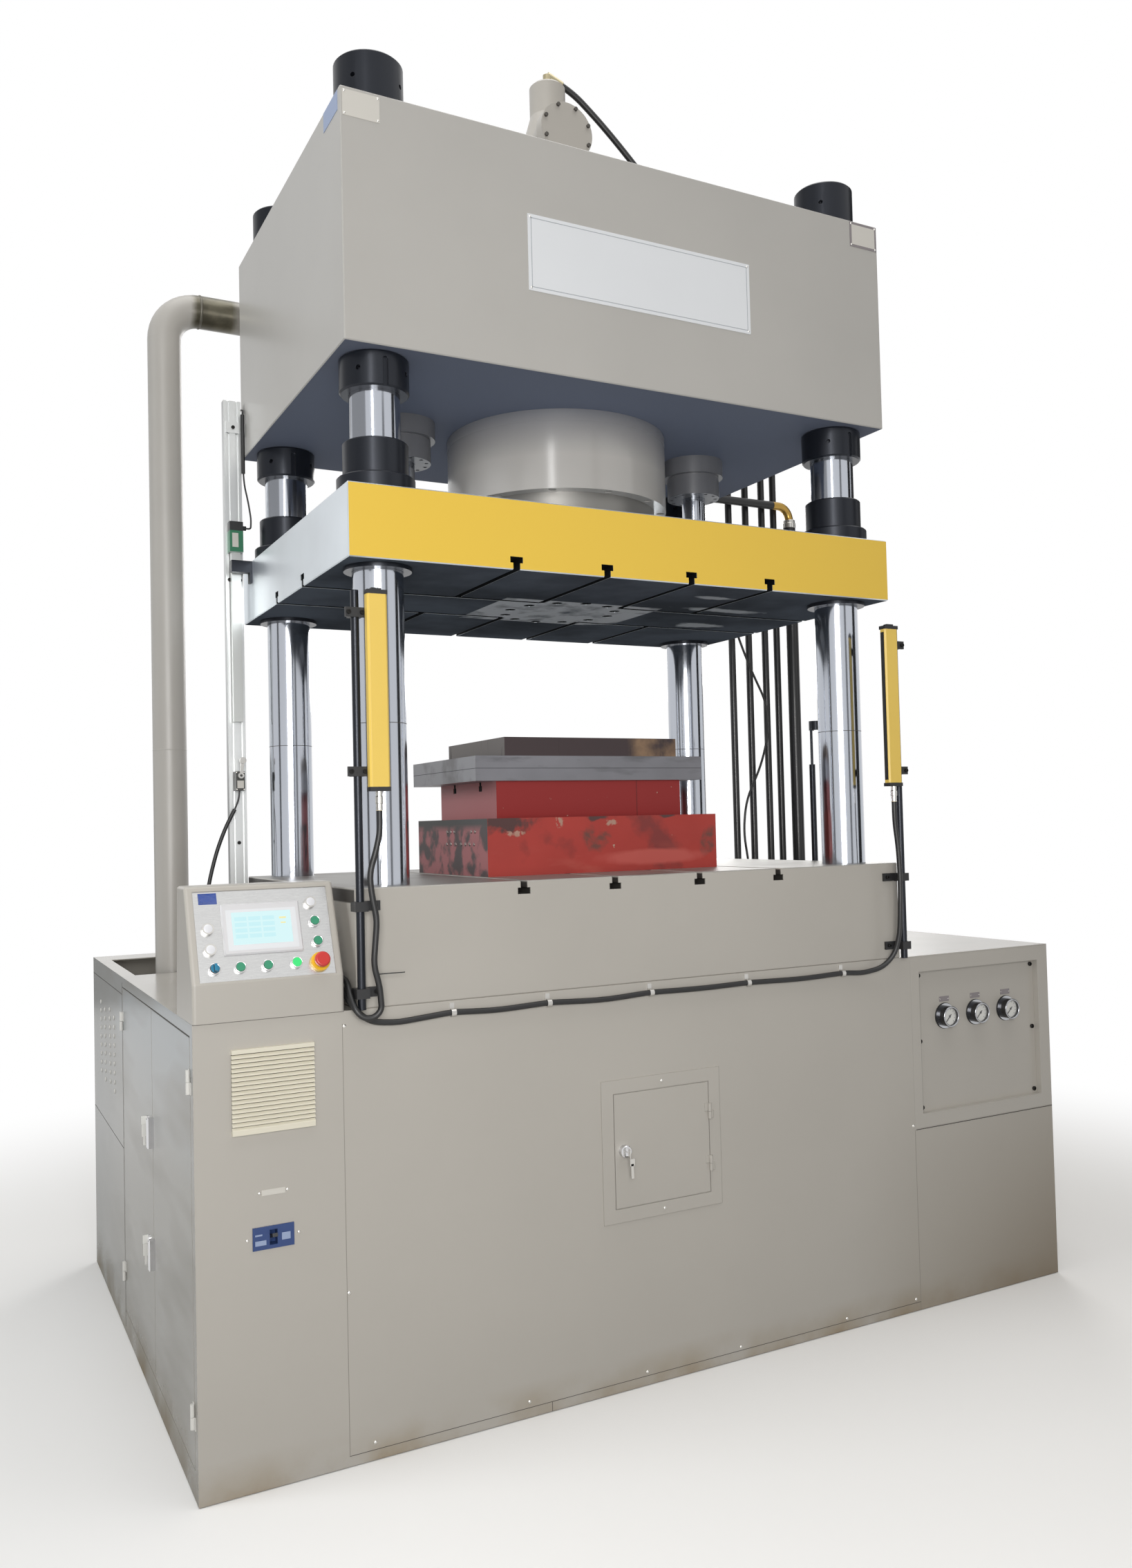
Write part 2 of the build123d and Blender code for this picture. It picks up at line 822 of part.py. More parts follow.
# Pressure pipes: up from the housing and into a port block on the crown's back.
pipe_y = back + pipe_row_gap
pipe_levels = [crown_bottom + share * crown_height for share in pipe_level_shares]
main_pipe_y = back + main_pipe_gap
main_pipe_z = crown_bottom + main_pipe_rise
pipes = []
for x, level in zip(pipe_places, pipe_levels):
    route = ((x, pipe_y, base_height), (x, pipe_y, level), (port_block_right, pipe_y, level))
    line = pipe(route, pipe_bend, pipe_radius)
    line += post(x, pipe_y, base_height, base_height + pipe_collar_height, pipe_collar_radius)
    pipes.append(line)
main_route = (
    (main_pipe_x, main_pipe_y, base_height),
    (main_pipe_x, main_pipe_y, main_pipe_z),
    (port_block_right, main_pipe_y, main_pipe_z),
)
main_line = pipe(main_route, main_pipe_bend, main_pipe_radius)
main_line += post(main_pipe_x, main_pipe_y, base_height, main_pipe_z - main_hose_drop, main_hose_radius)
main_collar = main_hose_radius + pipe_collar_radius - pipe_radius
main_line += post(main_pipe_x, main_pipe_y, base_height, base_height + pipe_collar_height, main_collar)
pipes.append(main_line)
port_block = block(
    port_block_right - port_block_width,
    port_block_right,
    back,
    back + port_block_depth,
    main_pipe_z - port_block_margin,
    max(pipe_levels) + port_block_margin,
)
hose_end_z = crown_top + socket_height
elbow_ends = (elbow_reach, elbow_reach + hose_start_run)
slope_cos = cos(radians(elbow_slope))
slope_sin = sin(radians(elbow_slope))
hose_route = [(end * slope_cos, 0, elbow_z - end * slope_sin) for end in elbow_ends]
hose_route += [(x, 0, elbow_z - drop) for x, drop in hose_points]
hose_route += [(hose_end_reach, 0, hose_end_z + hose_end_run), (hose_end_reach, 0, hose_end_z)]
socket = post(hose_end_reach, 0, crown_top, crown_top + socket_height, socket_radius)
save("pressure_pipes", *pipes, port_block, socket)

# Hose from the prefill valve's top fitting to the socket on the deck.
save("prefill_hose", cable("prefill_hose", hose_route, hose_radius))

# Electric cabinet: sheet box on the left, open to the front panel, with a doorway in its left wall.
shell_front = front + sheet
cabinet = block(cabinet_left, -half_width, shell_front, base_back, 0, base_height)
cabinet -= block(
    cabinet_left + sheet,
    -half_width - sheet,
    shell_front - overrun,
    base_back - sheet,
    sheet,
    base_height - sheet,
)
cabinet += block(cabinet_left, -half_width, cabinet_split, cabinet_split + sheet, 0, base_height)
cabinet -= block(
    cabinet_left - overrun,
    cabinet_left + overrun,
    door_front_edge - door_gap,
    door_rear_edge + door_gap,
    door_bottom - door_gap,
    door_top + door_gap,
)
recess_left = cabinet_left + recess_margin_left
cabinet -= block(
    recess_left,
    recess_left + recess_width,
    recess_front,
    recess_back,
    base_height - overrun,
    base_height + overrun,
)


def hinge_half(axis_x, axis_y, turn, side, z0, z1):
    """A hinge knuckle with its leaf to one side, against a face behind it, turned about Z."""
    reach = side * hinge_leaf_width
    leaf = block(min(0, reach), max(0, reach), hinge_radius - hinge_leaf, hinge_radius, z0, z1)
    return Pos(axis_x, axis_y, 0) * Rot(0, 0, turn) * (post(0, 0, z0, z1, hinge_radius) + leaf)


hinge_x = cabinet_left - hinge_radius
front_hinge_y = door_front_edge - door_gap / 2
rear_hinge_y = door_rear_edge + door_gap / 2
for level in cabinet_hinge_levels:
    low = level - hinge_length / 2
    high = level - hinge_gap
    cabinet += hinge_half(hinge_x, front_hinge_y, -90, 1, low, high)
    cabinet += hinge_half(hinge_x, rear_hinge_y, -90, -1, low, high)
save("electric_cabinet", cabinet)


def cabinet_door(y0, y1, hinge_y, leaf_side):
    """A folded door pan in the left wall, with the upper halves of its hinges."""
    pan = block(cabinet_left, cabinet_left + door_rim, y0, y1, door_bottom, door_top)
    pan -= block(
        cabinet_left + sheet,
        cabinet_left + door_rim + overrun,
        y0 + sheet,
        y1 - sheet,
        door_bottom + sheet,
        door_top - sheet,
    )
    for level in cabinet_hinge_levels:
        pan += hinge_half(hinge_x, hinge_y, -90, leaf_side, level, level + hinge_length / 2)
    return pan


front_door_end = door_meeting - door_gap / 2
rear_door_start = door_meeting + door_gap / 2
save("front_cabinet_door", cabinet_door(door_front_edge, front_door_end, front_hinge_y, -1))
save("rear_cabinet_door", cabinet_door(rear_door_start, door_rear_edge, rear_hinge_y, 1))

# Door handles: flat bars with rounded ends beside the meeting line of the doors.
handle_y = front_door_end - handle_inset
handles = []
for level in handle_levels:
    grip = block(
        cabinet_left - handle_height,
        cabinet_left,
        handle_y - handle_width / 2,
        handle_y + handle_width / 2,
        level - handle_length / 2,
        level + handle_length / 2,
    )
    outer_edges = grip.faces().sort_by(Axis.X)[0].edges()
    handles.append(fillet(outer_edges, handle_width / 3))
save("door_handles", *handles)

# Oil tank: a closed tank in the cabinet's rear compartment, under the open recess.
tank = block(
    cabinet_left + sheet + tank_gap,
    -half_width - sheet - tank_gap,
    cabinet_split + sheet + tank_gap,
    base_back - sheet - tank_gap,
    sheet,
    tank_top,
)
save("oil_tank", tank)

# Switchgear: a mounting plate on the cabinet's right wall with rows of devices on it.
plate_left = -half_width - sheet - gear_plate
gear_front = shell_front + gear_margin
gear_back = cabinet_split - gear_margin
gear_bottom = sheet + gear_margin
gear_top = base_height - sheet - gear_margin
gear_span = gear_back - gear_front
gear = [block(plate_left, plate_left + gear_plate, gear_front, gear_back, gear_bottom, gear_top)]
for share, count in zip(gear_row_shares, gear_row_counts):
    row_z = gear_bottom + share * (gear_top - gear_bottom)
    pitch = gear_span / count
    for index in range(count):
        cell_start = gear_front + index * pitch + gear_cell_gap / 2
        gear.append(
            block(
                plate_left - gear_cell_depth,
                plate_left,
                cell_start,
                cell_start + pitch - gear_cell_gap,
                row_z - gear_cell_height / 2,
                row_z + gear_cell_height / 2,
            )
        )
save("switchgear", *gear)

# Housing: folded sheet over the right side and the back.
housing_top = block(half_width, housing_right, shell_front, base_back, base_height - sheet, base_height)
housing_top += block(-half_width, half_width, back, base_back, base_height - sheet, base_height)
housing = housing_top
housing += block(-half_width, housing_right, base_back - sheet, base_back, 0, base_height)
housing += block(housing_right - sheet, housing_right, shell_front, base_back, 0, base_height)
save("hydraulic_housing", housing)

# Pump unit: motor and pump in line on a steel base that reaches the right wall.
motor_front = pump_y - motor_length / 2
motor_back = pump_y + motor_length / 2
pump_back = motor_back + pump_body_length
base_half = pump_base_width / 2
pump = rod_y(pump_x, motor_rise, motor_front, motor_back, motor_radius)
pump += rod_y(pump_x, motor_rise, motor_back, pump_back, pump_body_radius)
pump += block(
    pump_x - base_half,
    housing_right - sheet,
    motor_front - pump_base_overhang,
    pump_back + pump_base_overhang,
    0,
    pump_base_height,
)
pump += block(
    pump_x - base_half / 2,
    pump_x + base_half / 2,
    motor_front + pump_base_overhang,
    motor_back - pump_base_overhang,
    pump_base_height,
    motor_rise,
)
save("pump_unit", pump)

# Front panel: one sheet across the base, cut for the vent, the breaker, the access door and the gauges.
vent_hole_width = vent_width - 2 * vent_border
vent_hole_height = vent_height - 2 * vent_border


def panel_hole(x, z, width, height):
    """A rectangular cutter through the front panel."""
    return block(
        x - width / 2, x + width / 2, front - overrun, front + overrun, z - height / 2, z + height / 2
    )


panel = block(cabinet_left, housing_right, front, shell_front, 0, base_height)
panel -= panel_hole(vent_x, vent_level, vent_hole_width, vent_hole_height)
panel -= panel_hole(breaker_x, breaker_level, breaker_width, breaker_height)
panel -= panel_hole(access_x, access_level, access_width - 2 * access_lip, access_height - 2 * access_lip)
panel -= block(
    gauge_frame_left,
    housing_right + overrun,
    front - overrun,
    front + overrun,
    gauge_frame_bottom,
    base_height - sheet,
)
save("front_panel", panel)

# Vent grille: a moulded frame with tilted louvres, standing on the panel.
grille = panel_hole(vent_x, vent_level, vent_width, vent_height)
grille &= block(cabinet_left, housing_right, front - vent_depth, front, 0, base_height)
grille -= panel_hole(vent_x, vent_level, vent_hole_width, vent_hole_height)
slat_pitch = vent_hole_height / vent_count
for index in range(vent_count):
    slat_z = vent_level - vent_hole_height / 2 + (index + 1 / 2) * slat_pitch
    slat = Box(vent_width - vent_border, vent_slat_width, vent_slat)
    grille += Pos(vent_x, front - vent_depth / 2, slat_z) * Rot(vent_slat_turn, 0, 0) * slat
grille &= block(cabinet_left, housing_right, front - vent_depth, front, 0, base_height)
save("vent_grille", grille)

# Breaker: a moulded block through the panel, with a slot for its toggle.
breaker_face = front - breaker_proud
breaker = block(
    breaker_x - breaker_width / 2,
    breaker_x + breaker_width / 2,
    breaker_face,
    front + breaker_depth,
    breaker_level - breaker_height / 2,
    breaker_level + breaker_height / 2,
)
breaker -= block(
    breaker_x - breaker_slot_width / 2,
    breaker_x + breaker_slot_width / 2,
    breaker_face - overrun,
    breaker_face + breaker_slot_depth,
    breaker_level - breaker_slot_height / 2,
    breaker_level + breaker_slot_height / 2,
)
pivot_y = breaker_face + toggle_pivot_depth
pin_end = breaker_slot_width / 2
breaker += rod_x(pivot_y, breaker_level, breaker_x - pin_end, breaker_x + pin_end, toggle_pin_radius)
save("breaker", breaker)

toggle = block(
    -toggle_width / 2, toggle_width / 2, -toggle_reach, 0, -toggle_thickness / 2, toggle_thickness / 2
)
toggle += rod_x(0, 0, -toggle_width / 2, toggle_width / 2, toggle_thickness / 2)
toggle -= rod_x(0, 0, -toggle_width, toggle_width, toggle_pin_radius + running_gap)
save("breaker_toggle", Pos(breaker_x, pivot_y, breaker_level) * Rot(-toggle_tilt, 0, 0) * toggle)

# Access door: a plate in a frame that is screwed to the panel, hinged at its right edge.
frame_face = front - access_plate
opening_width = access_width + 2 * access_gap
opening_height = access_height + 2 * access_gap
access_frame = panel_hole(
    access_x, access_level, opening_width + 2 * access_border, opening_height + 2 * access_border
)
access_frame -= panel_hole(access_x, access_level, opening_width, opening_height)
access_frame &= block(cabinet_left, housing_right, frame_face, front, 0, base_height)
access_hinge_x = access_x + (access_width + access_gap) / 2
access_hinge_y = frame_face - hinge_radius
access_door = panel_hole(access_x, access_level, access_width, access_height)
access_door &= block(cabinet_left, housing_right, frame_face, front - door_seat_gap, 0, base_height)
for level in access_hinge_levels:
    low = level - access_hinge_length / 2
    high = level + access_hinge_length / 2
    access_frame += hinge_half(access_hinge_x, access_hinge_y, 0, 1, low, level - hinge_gap)
    access_door += hinge_half(access_hinge_x, access_hinge_y, 0, -1, level, high)
lock_x = access_x - access_width / 2 + lock_inset
access_door += rod_y(lock_x, access_level, frame_face - lock_height, frame_face, lock_radius)
save("access_frame", access_frame)
save("access_door", access_door)

# Gauge frame: a raised border, and a panel against its back that carries the gauges.
gauge_left = gauge_frame_left + gauge_border_left
gauge_right = housing_right - gauge_border_right
gauge_bottom = gauge_frame_bottom + gauge_border_bottom
gauge_top = base_height - gauge_border_top
gauge_back = front + gauge_frame_depth
gauge_frame = block(
    gauge_frame_left, housing_right - sheet, front, gauge_back, gauge_frame_bottom, base_height - sheet
)
gauge_frame += block(
    gauge_frame_left, housing_right, front, shell_front, gauge_frame_bottom, base_height - sheet
)
gauge_frame -= block(gauge_left, gauge_right, front - overrun, gauge_back + overrun, gauge_bottom, gauge_top)
save("gauge_housing", gauge_frame)
gauge_panel = block(
    gauge_left - gauge_panel_lip,
    gauge_right + gauge_panel_lip,
    gauge_back,
    gauge_back + gauge_panel_sheet,
    gauge_bottom - gauge_panel_lip,
    gauge_top + gauge_panel_lip,
)
save("gauge_panel", gauge_panel)

# Gauges: flange, case and dial recess, with a pin for the needle.
flange_face = gauge_back - gauge_flange_depth
case_face = gauge_back - gauge_case_depth
dial_y = case_face + gauge_dial_depth
gauges = []
for index, x in enumerate(gauge_places):
    gauge = rod_y(x, gauge_level, flange_face, gauge_back, gauge_flange_radius)
    gauge += rod_y(x, gauge_level, case_face, gauge_back, gauge_case_radius)
    gauge -= rod_y(x, gauge_level, case_face - overrun, dial_y, gauge_dial_radius)
    gauge += rod_y(x, gauge_level, dial_y - gauge_pin_height, dial_y, gauge_pin_radius)
    gauges.append(gauge)
    needle_back = dial_y - needle_lift
    needle_front = needle_back - needle_depth
    needle = rod_y(0, 0, needle_front, needle_back, needle_hub_radius)
    needle += block(
        -needle_tail, needle_length, needle_front, needle_back, -needle_width / 2, needle_width / 2
    )
    needle -= rod_y(0, 0, needle_front - overrun, needle_back + overrun, gauge_pin_radius + running_gap)
    save(f"gauge_needle_{index + 1}", Pos(x, 0, gauge_level) * Rot(0, -needle_start, 0) * needle)
save("gauges", *gauges)

# Console: a folded box on the cabinet, with a recess in its tilted front for the face plate.
console_left = cabinet_left
console_front = front - console_front_proud
console_top = base_height + console_height
strip_top = base_height + console_strip
slope_top_y = console_front + console_slope_back
slope_rise = console_height - console_strip
console_back_top = slope_top_y + console_top_depth
outline = make_face(
    Polyline(
        (console_front, base_height),
        (console_front, strip_top),
        (slope_top_y, console_top),
        (console_back_top, console_top),
        (console_back_top + console_back_lean, base_height),
        close=True,
    )
)
console = Pos(console_left, 0, 0) * extrude(Plane.YZ * outline, amount=console_width)
upper_edges = [edge for edge in console.edges() if edge.center().Z > base_height + console_wall]
console = fillet(upper_edges, console_edge)
inner_outline = offset(outline, amount=-console_wall, kind=Kind.INTERSECTION)
inner_width = console_width - 2 * console_wall
inside = Pos(console_left + console_wall, 0, 0) * extrude(Plane.YZ * inner_outline, amount=inner_width)
inside += block(
    console_left + console_wall,
    console_left + console_width - console_wall,
    console_front + console_wall,
    console_back_top,
    base_height - overrun,
    base_height + 2 * console_wall,
)
console_middle = console_left + console_width / 2
face_plane = Plane(
    origin=(console_middle, console_front, strip_top),
    x_dir=(1, 0, 0),
    z_dir=(0, -slope_rise, console_slope_back),
)
face_middle = face_start + face_height / 2


def on_face(u, v, w, shape):
    """A shape on the tilted face: u to the right of its middle, v up from the fold, w outwards."""
    return face_plane.location * (Pos(u, v, w) * shape)


def face_disc(u, v, w0, w1, radius):
    """A disc on the tilted face between two heights."""
    return on_face(u, v, (w0 + w1) / 2, Cylinder(radius, w1 - w0))


def face_spot(shares):
    """The place on the face plate that a pair of shares gives."""
    return (shares[0] * face_width, face_start + shares[1] * face_height)


tray_depth = face_recess + console_wall
tray = on_face(0, face_middle, -tray_depth / 2, Box(face_width + console_wall, face_height, tray_depth))
pocket_depth = face_recess + overrun
pocket = Box(face_width + face_fit, face_height + face_fit, pocket_depth)
solid_console = console
console = console - inside + (tray & solid_console)
console -= on_face(0, face_middle, overrun - pocket_depth / 2, pocket)
save("console", console)

plate_top = face_sheet - face_recess
face_plate = Box(face_width - face_fit, face_height - face_fit, face_sheet)
save("console_face", on_face(0, face_middle, plate_top - face_sheet / 2, face_plate))

screen_u, screen_v = face_spot(screen_place_shares)
screen = Box(screen_width, screen_height, screen_depth)
screen = chamfer(screen.faces().sort_by(Axis.Z)[-1].edges(), screen_edge)
save("touch_panel", on_face(screen_u, screen_v, plate_top + screen_depth / 2, screen))

# Lamps, button collars and the yellow base of the emergency stop, all seated on the face plate.
collar_bore = collar_radius - collar_wall
fittings = []
for shares in lamp_place_shares:
    u, v = face_spot(shares)
    fittings.append(face_disc(u, v, plate_top, plate_top + lamp_height, collar_radius))
for shares in (*button_place_shares, selector_place_shares):
    u, v = face_spot(shares)
    ring = face_disc(u, v, plate_top, plate_top + collar_height, collar_radius)
    fittings.append(ring - face_disc(u, v, plate_top - overrun, plate_top + overrun, collar_bore))
u, v = face_spot(stop_place_shares)
ring = face_disc(u, v, plate_top, plate_top + stop_base_height, stop_base_radius)
stop_bore = stop_stem_radius + running_gap
fittings.append(ring - face_disc(u, v, plate_top - overrun, plate_top + overrun, stop_bore))
save("panel_fittings", *fittings)

plunger_radius = collar_bore - running_gap
for index, shares in enumerate(button_place_shares):
    u, v = face_spot(shares)
    start = plate_top + button_lift
    button_end = start + button_height - button_lift
    save(f"push_button_{index + 1}", face_disc(u, v, start, button_end, plunger_radius))

# Selector: a round knob with a raised grip.
u, v = face_spot(selector_place_shares)
knob_bottom = plate_top + running_gap
knob_top = plate_top + collar_height + selector_height - button_lift
knob = face_disc(u, v, knob_bottom, knob_top, plunger_radius)
grip = Box(selector_grip_width, 2 * plunger_radius - selector_grip_width / 2, selector_grip_height)
knob += on_face(u, v, knob_top + selector_grip_height / 2, grip)
save("selector_knob", knob)

# Emergency stop: a mushroom head on a stem that slides in the yellow base.
u, v = face_spot(stop_place_shares)
stem_bottom = plate_top + stop_stem_lift
head_bottom = plate_top + stop_head_lift
head = Pos(0, 0, stop_head_height / 2) * Cylinder(stop_head_radius, stop_head_height)
head = fillet(head.edges().filter_by(GeomType.CIRCLE), stop_head_edge)
stop = face_disc(u, v, stem_bottom, head_bottom + stop_head_height / 2, stop_stem_radius)
save("estop_button", stop + on_face(u, v, head_bottom, head))

# Light-curtain bars with their plugs, one at each front corner.
pole_y = front - pole_stand_off - pole_radius
bar_back = pole_y - pole_radius - bar_pole_gap
pole_x = half_width - pole_inset
bars = []
for side in (-1, 1):
    bar_x = side * (half_width - bar_inset)
    bar_left = bar_x - bar_width / 2
    bar = block(bar_left, bar_left + bar_width, bar_back - bar_depth, bar_back, bar_bottom, bar_top)
    bar = chamfer(bar.edges().filter_by(Axis.Z), bar_chamfer)
    bar += post(bar_x, bar_back - bar_depth / 2, bar_bottom - plug_length, bar_bottom, plug_radius)
    bars.append(bar)
save("light_bars", *bars)

# Poles: two at the front corners, and a short one at the bed's right side with a clip on a thin rod.
side_pole_x = half_width + pole_stand_off + pole_radius
poles = [post(side * pole_x, pole_y, pole_bottom, pole_top, pole_radius) for side in (-1, 1)]
side_pole = post(side_pole_x, side_pole_y, side_pole_bottom, side_pole_top, pole_radius)
side_pole += post(side_pole_x, side_pole_y, side_pole_top, side_rod_top, side_rod_radius)
clip_middle = side_pole_x + side_clip_radius - side_clip_wall / 2
side_clip = post(clip_middle, side_pole_y, side_rod_top - side_clip_height, side_rod_top, side_clip_radius)
clip_bore = side_clip_radius - side_clip_wall
side_clip -= post(
    clip_middle, side_pole_y, side_rod_top - side_clip_height - overrun, side_rod_top + overrun, clip_bore
)
side_clip -= block(
    clip_middle + side_clip_wall,
    clip_middle + 2 * side_clip_radius,
    side_pole_y - side_clip_radius,
    side_pole_y + side_clip_radius,
    side_rod_top - side_clip_height - overrun,
    side_rod_top + overrun,
)
poles.append(side_pole + side_clip)
save("side_poles", *poles)


def pole_clamp(level, foot_left, foot_right):
    """A saddle clamp that holds a pole at the origin to a face behind it."""
    bottom = level - clamp_height / 2
    top = level + clamp_height / 2
    face = pole_stand_off + pole_radius
    saddle_front = -pole_radius - clamp_wall
    clamp = block(-clamp_saddle_width / 2, clamp_saddle_width / 2, saddle_front, face, bottom, top)
    clamp += block(-foot_left, foot_right, face - clamp_foot, face, bottom, top)
    return clamp - post(0, 0, bottom - overrun, top + overrun, pole_radius + clamp_fit)


clamps = []
for side in (-1, 1):
    for level in bed_clamp_levels:
        feet = (clamp_foot_outer, clamp_foot_inner) if side < 0 else (clamp_foot_inner, clamp_foot_outer)
        clamps.append(Pos(side * pole_x, pole_y, 0) * pole_clamp(level, *feet))
    for level in bar_clamp_levels:
        outer = side * (pole_x + bar_clamp_ear)
        inner = side * (pole_x - bar_clamp_reach)
        low = level - clamp_height / 2
        high = level + clamp_height / 2
        saddle_left = side * pole_x - clamp_saddle_width / 2
        saddle_back = pole_y + pole_radius + clamp_wall
        strap = block(min(outer, inner), max(outer, inner), bar_back, bar_back + clamp_foot, low, high)
        strap += block(saddle_left, saddle_left + clamp_saddle_width, bar_back, saddle_back, low, high)
        clamps.append(strap - post(side * pole_x, pole_y, pole_bottom, pole_top, pole_radius + clamp_fit))
for level in bed_clamp_levels:
    side_clamp = pole_clamp(level, clamp_foot_inner, clamp_foot_inner)
    clamps.append(Pos(side_pole_x, side_pole_y, 0) * Rot(0, 0, 90) * side_clamp)
save("pole_clamps", *clamps)

# Measuring rail: a grooved extrusion on the cabinet, bracketed to the crown.
rail_right = -half_width - rail_gap
rail_left = rail_right - rail_width
rail_front = rail_y - rail_depth / 2
rail_middle = (rail_left + rail_right) / 2
rail = block(rail_left, rail_right, rail_front, rail_front + rail_depth, base_height, rail_top)
for side in (-1, 1):
    groove_x = rail_middle + side * rail_width / 4
    rail -= block(
        groove_x - rail_groove_width / 2,
        groove_x + rail_groove_width / 2,
        rail_front - overrun,
        rail_front + rail_groove_depth,
        base_height - overrun,
        rail_top + overrun,
    )
rail += block(
    rail_right,
    -half_width,
    rail_front,
    rail_front + rail_depth,
    rail_bracket_level - rail_bracket_height / 2,
    rail_bracket_level + rail_bracket_height / 2,
)
save("scale_rail", rail)

# Position transducer: a slim bar on the rail with an electronics head at its top.
transducer = block(
    rail_middle - transducer_width / 2,
    rail_middle + transducer_width / 2,
    rail_front - transducer_depth,
    rail_front,
    transducer_bottom,
    transducer_top,
)
transducer += block(
    rail_middle - transducer_head_width / 2,
    rail_middle + transducer_head_width / 2,
    rail_front - transducer_head_depth,
    rail_front,
    transducer_top,
    transducer_top + transducer_head_height,
)
gland_y = rail_front - transducer_head_depth / 2
gland_z = transducer_top + transducer_head_height - transducer_gland_drop
gland_start = rail_middle + transducer_head_width / 2
gland_end = gland_start + transducer_gland_reach
transducer += rod_x(gland_y, gland_z, gland_start, gland_end, transducer_gland_radius)
save("position_transducer", transducer)

# Magnet bracket: screwed to the slide's left face, it reaches in front of the transducer.
magnet_face = rail_front - transducer_head_depth - magnet_gap
magnet_top = slide_top - plate_chamfer
magnet = block(
    -half_width - magnet_plate,
    -half_width,
    magnet_face - magnet_depth,
    magnet_face,
    magnet_top - magnet_foot,
    magnet_top,
)
magnet += block(
    -half_width - magnet_reach,
    -half_width,
    magnet_face - magnet_depth,
    magnet_face,
    magnet_top - magnet_height,
    magnet_top,
)
save("magnet_bracket", magnet)

# Limit switch on the rail, with a roller lever on its shaft.
switch_top = switch_bottom + switch_height
switch_face = rail_front - switch_depth
boss_z = switch_top - switch_width / 2
switch = block(
    rail_middle - switch_width / 2,
    rail_middle + switch_width / 2,
    switch_face,
    rail_front,
    switch_bottom,
    switch_top,
)
boss_face = switch_face - switch_boss_depth
switch += rod_y(rail_middle, boss_z, boss_face, switch_face, switch_boss_radius)
lever_back = boss_face - running_gap
lever_front = lever_back - lever_depth
switch += rod_y(rail_middle, boss_z, lever_front, boss_face, lever_shaft_radius)
save("limit_switch", switch)
lever = rod_y(0, 0, lever_front, lever_back, lever_hub_radius)
lever += block(0, lever_length, lever_front, lever_back, -lever_width / 2, lever_width / 2)
roller_front = lever_front - lever_roller_depth
lever += rod_y(lever_length, 0, roller_front, lever_back, lever_roller_radius)
lever -= rod_y(0, 0, lever_front - overrun, lever_back + overrun, lever_shaft_radius + running_gap)
save("limit_lever", Pos(rail_middle, 0, boss_z) * Rot(0, -180 + lever_tilt, 0) * lever)

# Cables of the light curtain, the pipes and the limit switch.
cable_y = front - cable_radius - clip_fit - clip_wall
clip_places = [-half_width + share * press_width for share in clip_place_shares]
bar_x = half_width - bar_inset
plug_y = bar_back - bar_depth / 2
plug_end = bar_bottom - plug_length
held_points = []
for x, droop in zip(reversed(clip_places), clip_droops):
    held_points.append((x + clip_width, cable_y, clip_level))
    held_points.append((x - clip_width, cable_y, clip_level))
    held_points.append((x - clip_droop_reach, cable_y, clip_level - droop))
gap_x = -half_width - cable_gap_middle
right_cable = [(bar_x, plug_y, plug_end)]
right_cable += [(bar_x + out, plug_y - ahead, plug_end - drop) for out, ahead, drop in right_high_points]
right_cable += [(bar_x + out, front - ahead, base_height + rise) for out, ahead, rise in right_low_points]
right_cable += held_points
for out, ahead, rise in right_end_points:
    right_cable.append((-half_width - out, front - ahead, base_height + rise))
right_cable += [(gap_x, front - ahead, base_height + rise) for ahead, rise in right_gap_points]
left_cable = [(-bar_x, plug_y, plug_end)]
left_cable += [(-bar_x - out, plug_y - ahead, plug_end - drop) for out, ahead, drop in left_high_points]
left_cable += [(-half_width - out, front - ahead, base_height + rise) for out, ahead, rise in left_low_points]
left_cable += [(gap_x, front - ahead, base_height + rise) for ahead, rise in left_gap_points]
pipe_cable = []
for out, behind, rise in pipe_cable_points:
    pipe_cable.append((half_width + out, back + behind, base_height + rise))
for out, behind, drop in pipe_cable_high_points:
    pipe_cable.append((half_width + out, back + behind, crown_bottom - drop))
switch_cable = []
for out, behind, rise in switch_cable_points:
    switch_cable.append((rail_middle + out, rail_front + behind, switch_bottom + rise))
switch_cable.append((rail_middle + switch_cable_end[0], rail_front + switch_cable_end[1], base_height))
lead = [(gland_end, gland_y, gland_z)]
lead += [(-half_width - out, rail_front + behind, gland_z + rise) for out, behind, rise in gland_points]
for out, behind, rise in bracket_points:
    lead.append((-half_width - out, rail_front + behind, rail_bracket_level + rise))
lead.append((lead[-1][0], lead[-1][1], base_height))
sleeve_x, sleeve_y, sleeve_bottom = lead[len(gland_points)]
sleeve_top = lead[len(gland_points) + 1][2]
lead_sleeve = post(sleeve_x, sleeve_y, sleeve_bottom, sleeve_top, sleeve_radius)
switch_lead = cable("switch_lead", switch_cable, lead_radius)
switch_lead += cable("switch_sleeve", switch_cable[sleeve_start:], sleeve_radius)
cables = [
    cable("right_cable", right_cable, cable_radius),
    cable("left_cable", left_cable, cable_radius),
    cable("pipe_cable", pipe_cable, thin_cable_radius),
    switch_lead,
    cable("transducer_lead", lead, lead_radius) + lead_sleeve,
]
save("sensor_cables", *cables)

# Clips: bent straps that hold the front cable, each with a tab for its screw.
clips = []
clip_radius = cable_radius + clip_fit + clip_wall
for x in clip_places:
    clip = rod_x(cable_y, clip_level, x - clip_width / 2, x + clip_width / 2, clip_radius)
    clip += block(
        x - clip_width / 2,
        x + clip_width / 2,
        front - clip_wall,
        front,
        clip_level,
        clip_level + clip_tab_height,
    )
    clip -= rod_x(cable_y, clip_level, x - clip_width, x + clip_width, cable_radius + clip_fit)
    clips.append(clip)
save("cable_clips", *clips)


